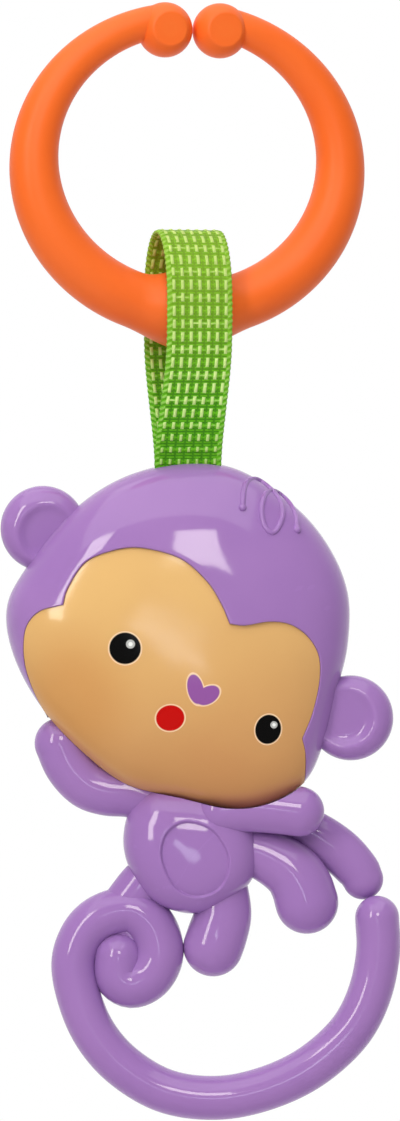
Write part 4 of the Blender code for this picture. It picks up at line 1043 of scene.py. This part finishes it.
def back_surface(p):
    """The back of the head as a thin dome with its slot and screw pockets, the chamber's rib
    inside it, and the back of the torso, the neck, the left arm and both ears."""
    s = p.s
    spots = [(p.head[0] + x * p.head_scale[0], p.head[1] + z * p.head_scale[1])
             for x, z in HEAD_SCREWS]
    profile = (s.head_back, HEAD_FULL, FLAT_BACK)
    shell = back_dome(p, *profile)
    cut(shell, strap_cutter(p), *map(bore, spots))
    skin = Skin()
    for spot in spots:
        post(skin, spot, lambda x, z: crown(x - p.head[0], z - p.head[1], p.head_loop, *profile))
    rib = np.array([0, 0, CHAMBER_WALL, CHAMBER_WALL])[:, None] + CHAMBER
    deep = np.array([-9.3, 9.0, 9.0, -9.3])[:, None] * MM
    x, z = polar(rib, turns(96))
    skin.grid(at(p.head, x, deep, z), along=True)
    limb(skin, NECK, 6.5 * MM, p.torso, half=1)
    limb(skin, LEFT_ARM, s.arm, p.torso, half=1)
    for angle, spot in ear_spots(p):
        ear(skin, p, angle, spot, 1)
    x, z = polar(reach(p.torso_loop, turns(240)) * outwards(40, 2.0, 0.03), turns(240))
    y = np.maximum(crown(x, z, p.torso_loop, s.torso_back, TORSO_FULL), PARTING)
    torso = solid("torso_back", at(p.torso, x, y, z), "purple")
    cut(torso, *(bore((p.torso[0] + x * MM, p.torso[1] + z * MM)) for x, z in TORSO_SCREWS))
    return joined("back_moulding", [shell, skin.build("back_details", "purple"), torso])


def dress(piece, body, slot, *nodes):
    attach(piece, body)
    if nodes:
        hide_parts(*nodes)


# Operators

class RATTLE_OT_ring(bpy.types.Operator):
    """Make the orange split ring with its knobs and knuckle."""

    bl_idname = "rattle.ring"
    bl_label = "Split ring"

    def execute(self, context):
        dress(ring_surface(Places()), "ring", "orange_plastic", "hanging_ring")
        return {"FINISHED"}


class RATTLE_OT_webbing(bpy.types.Operator):
    """Make the woven green loop that joins the ring to the pin."""

    bl_idname = "rattle.webbing"
    bl_label = "Webbing loop"

    def execute(self, context):
        p = Places()
        piece = strap_surface(p)
        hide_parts("strap_loop")
        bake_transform(piece)
        return {"FINISHED"}


class RATTLE_OT_head(bpy.types.Operator):
    """Make the hood with its ears and curl, and the face plate inside it."""

    bl_idname = "rattle.head"
    bl_label = "Hood and face"

    def execute(self, context):
        p = Places()
        dress(hood_surface(p), "figure", "purple_plastic", "head_front_hood")
        dress(face_surface(p), "figure", "tan_plastic", "face_plate")
        return {"FINISHED"}


class RATTLE_OT_body(bpy.types.Operator):
    """Make the torso with its arms, both halves of the legs and tail, and the back moulding."""

    bl_idname = "rattle.body"
    bl_label = "Body, limbs and back"

    def execute(self, context):
        p = Places()
        dress(torso_surface(p), "figure", "purple_plastic", "torso_front_shell")
        dress(legs_surface(p, -1), "figure", "purple_plastic", "legs_tail_front_half")
        dress(legs_surface(p, 1), "figure", "purple_plastic", "legs_tail_rear_half")
        dress(back_surface(p), "figure", "purple_plastic", "back_shell")
        return {"FINISHED"}


class RATTLE_OT_hardware(bpy.types.Operator):
    """Give the pin, the beads and the screws their finishes."""

    bl_idname = "rattle.hardware"
    bl_label = "Pin, beads and screws"

    def execute(self, context):
        for name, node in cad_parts.items():
            steel = "screw" in name
            if steel or "bead" in name or "pin" in name:
                look = finish("steel" if steel else "white")
                for slot in node.material_slots:
                    slot.material = look
        return {"FINISHED"}


class RATTLE_OT_studio(bpy.types.Operator):
    """Set up the white stage, the softboxes and the camera at the photograph's framing."""

    bl_idname = "rattle.studio"
    bl_label = "Studio"

    def execute(self, context):
        studio()
        return {"FINISHED"}


def floor():
    """A round paper floor under the toy, in rings from its middle to its edge."""
    x, y = polar(np.linspace(0.05, 0.5, 14)[:, None], turns(64))
    points = at((0, FLOOR), x, y, 0.0)
    paper = solid("studio_paper", points, "paper", poles=(True, False))
    paper.visible_glossy = False


def air():
    """White to the camera; for light and gloss, dim in front of the toy and bright behind it."""
    world = bpy.data.worlds.new("studio_air")
    bpy.context.scene.world = world
    world.use_nodes = True
    tree = world.node_tree
    camera, *_ = light_paths(tree)
    _, depth, _ = Value(tree, tree.nodes.new("ShaderNodeTexCoord").outputs["Generated"]).axes()
    glow = depth.ease(-0.2, 0.6) * 0.8 + 0.12
    back = tree.nodes["Background"]
    back.inputs["Color"].default_value = (*WHITE, 1.0)
    tree.links.new(camera.math("MAXIMUM", glow).socket, back.inputs["Strength"])


def softbox(name, azimuth, elevation, distance, size, power, roll=0.0, tint=WARM, mirrored=True):
    """An area light that aims at the toy's middle; azimuth 0 is the camera's side. It can be
    turned about its own line, and left out of mirror images."""
    a, e = math.radians(azimuth), math.radians(elevation)
    away = Vector((math.sin(a) * math.cos(e), -math.cos(a) * math.cos(e), math.sin(e)))
    data = bpy.data.lights.new(name, "AREA")
    data.shape = "RECTANGLE"
    data.size, data.size_y = size
    data.energy = power
    data.color = tint
    lamp = bpy.data.objects.new(name, data)
    lamp.location = Vector(MIDDLE) + away * distance
    turned = away.to_track_quat("Z", "Y").to_matrix() @ Matrix.Rotation(math.radians(roll), 3, "Z")
    lamp.rotation_euler = turned.to_euler()
    lamp.visible_glossy = mirrored
    bpy.context.scene.collection.objects.link(lamp)


def studio():
    """The stage, and the camera that frames the toy as the photograph does."""
    floor()
    air()
    softbox("key_right", 3.5, 18.5, 1.2, (0.28, 0.3), 2.2)
    softbox("key_left", -34.0, 17.0, 1.2, (0.2, 0.68), 3.6)
    softbox("streak", -2.2, -1.0, 2.0, (0.36, 0.1), 0.5, roll=-37.0, tint=(0.8, 0.9, 1.0))
    softbox("top", -10.0, 70.0, 1.0, (1.4, 1.4), 8.0, tint=WHITE)
    softbox("fill", -12.0, 42.0, 0.8, (0.6, 0.4), 1.4, tint=WHITE, mirrored=False)
    data = bpy.data.cameras.new("photo_camera")
    data.sensor_fit = "VERTICAL"
    data.sensor_height = 24.0
    data.lens = data.sensor_height * CAMERA_DISTANCE / PHOTO_HEIGHT
    data.clip_start = 0.01
    camera = bpy.data.objects.new("photo_camera", data)
    camera.location = (MIDDLE[0], -CAMERA_DISTANCE, MIDDLE[2])
    camera.rotation_euler = (math.radians(90), 0.0, 0.0)
    scene = bpy.context.scene
    scene.collection.objects.link(camera)
    scene.camera = camera
    scene.view_settings.view_transform = "Standard"


OPERATORS = (
    RATTLE_OT_ring, RATTLE_OT_webbing, RATTLE_OT_head, RATTLE_OT_body, RATTLE_OT_hardware,
    RATTLE_OT_studio,
)


class RATTLE_PT_panel(bpy.types.Panel):
    """Lists the rattle's pieces in the sidebar."""

    bl_idname = "RATTLE_PT_panel"
    bl_label = "Baby rattle"
    bl_space_type = "VIEW_3D"
    bl_region_type = "UI"
    bl_category = "Rattle"

    def draw(self, context):
        for operator in OPERATORS:
            self.layout.operator(operator.bl_idname)
        for group in (context.scene.rattle_sizes, context.scene.rattle_colours):
            for key in group.__annotations__:
                self.layout.prop(group, key)


CLASSES = (RattleSizes, RattleColours, *OPERATORS, RATTLE_PT_panel)


def register():
    for made in CLASSES:
        bpy.utils.register_class(made)
    bpy.types.Scene.rattle_sizes = bpy.props.PointerProperty(type=RattleSizes)
    bpy.types.Scene.rattle_colours = bpy.props.PointerProperty(type=RattleColours)


def unregister():
    del bpy.types.Scene.rattle_colours
    del bpy.types.Scene.rattle_sizes
    for made in reversed(CLASSES):
        bpy.utils.unregister_class(made)


def main():
    register()
    bpy.ops.rattle.ring()
    bpy.ops.rattle.webbing()
    bpy.ops.rattle.head()
    bpy.ops.rattle.body()
    bpy.ops.rattle.hardware()
    bpy.ops.rattle.studio()


if __name__ == "__main__":
    main()
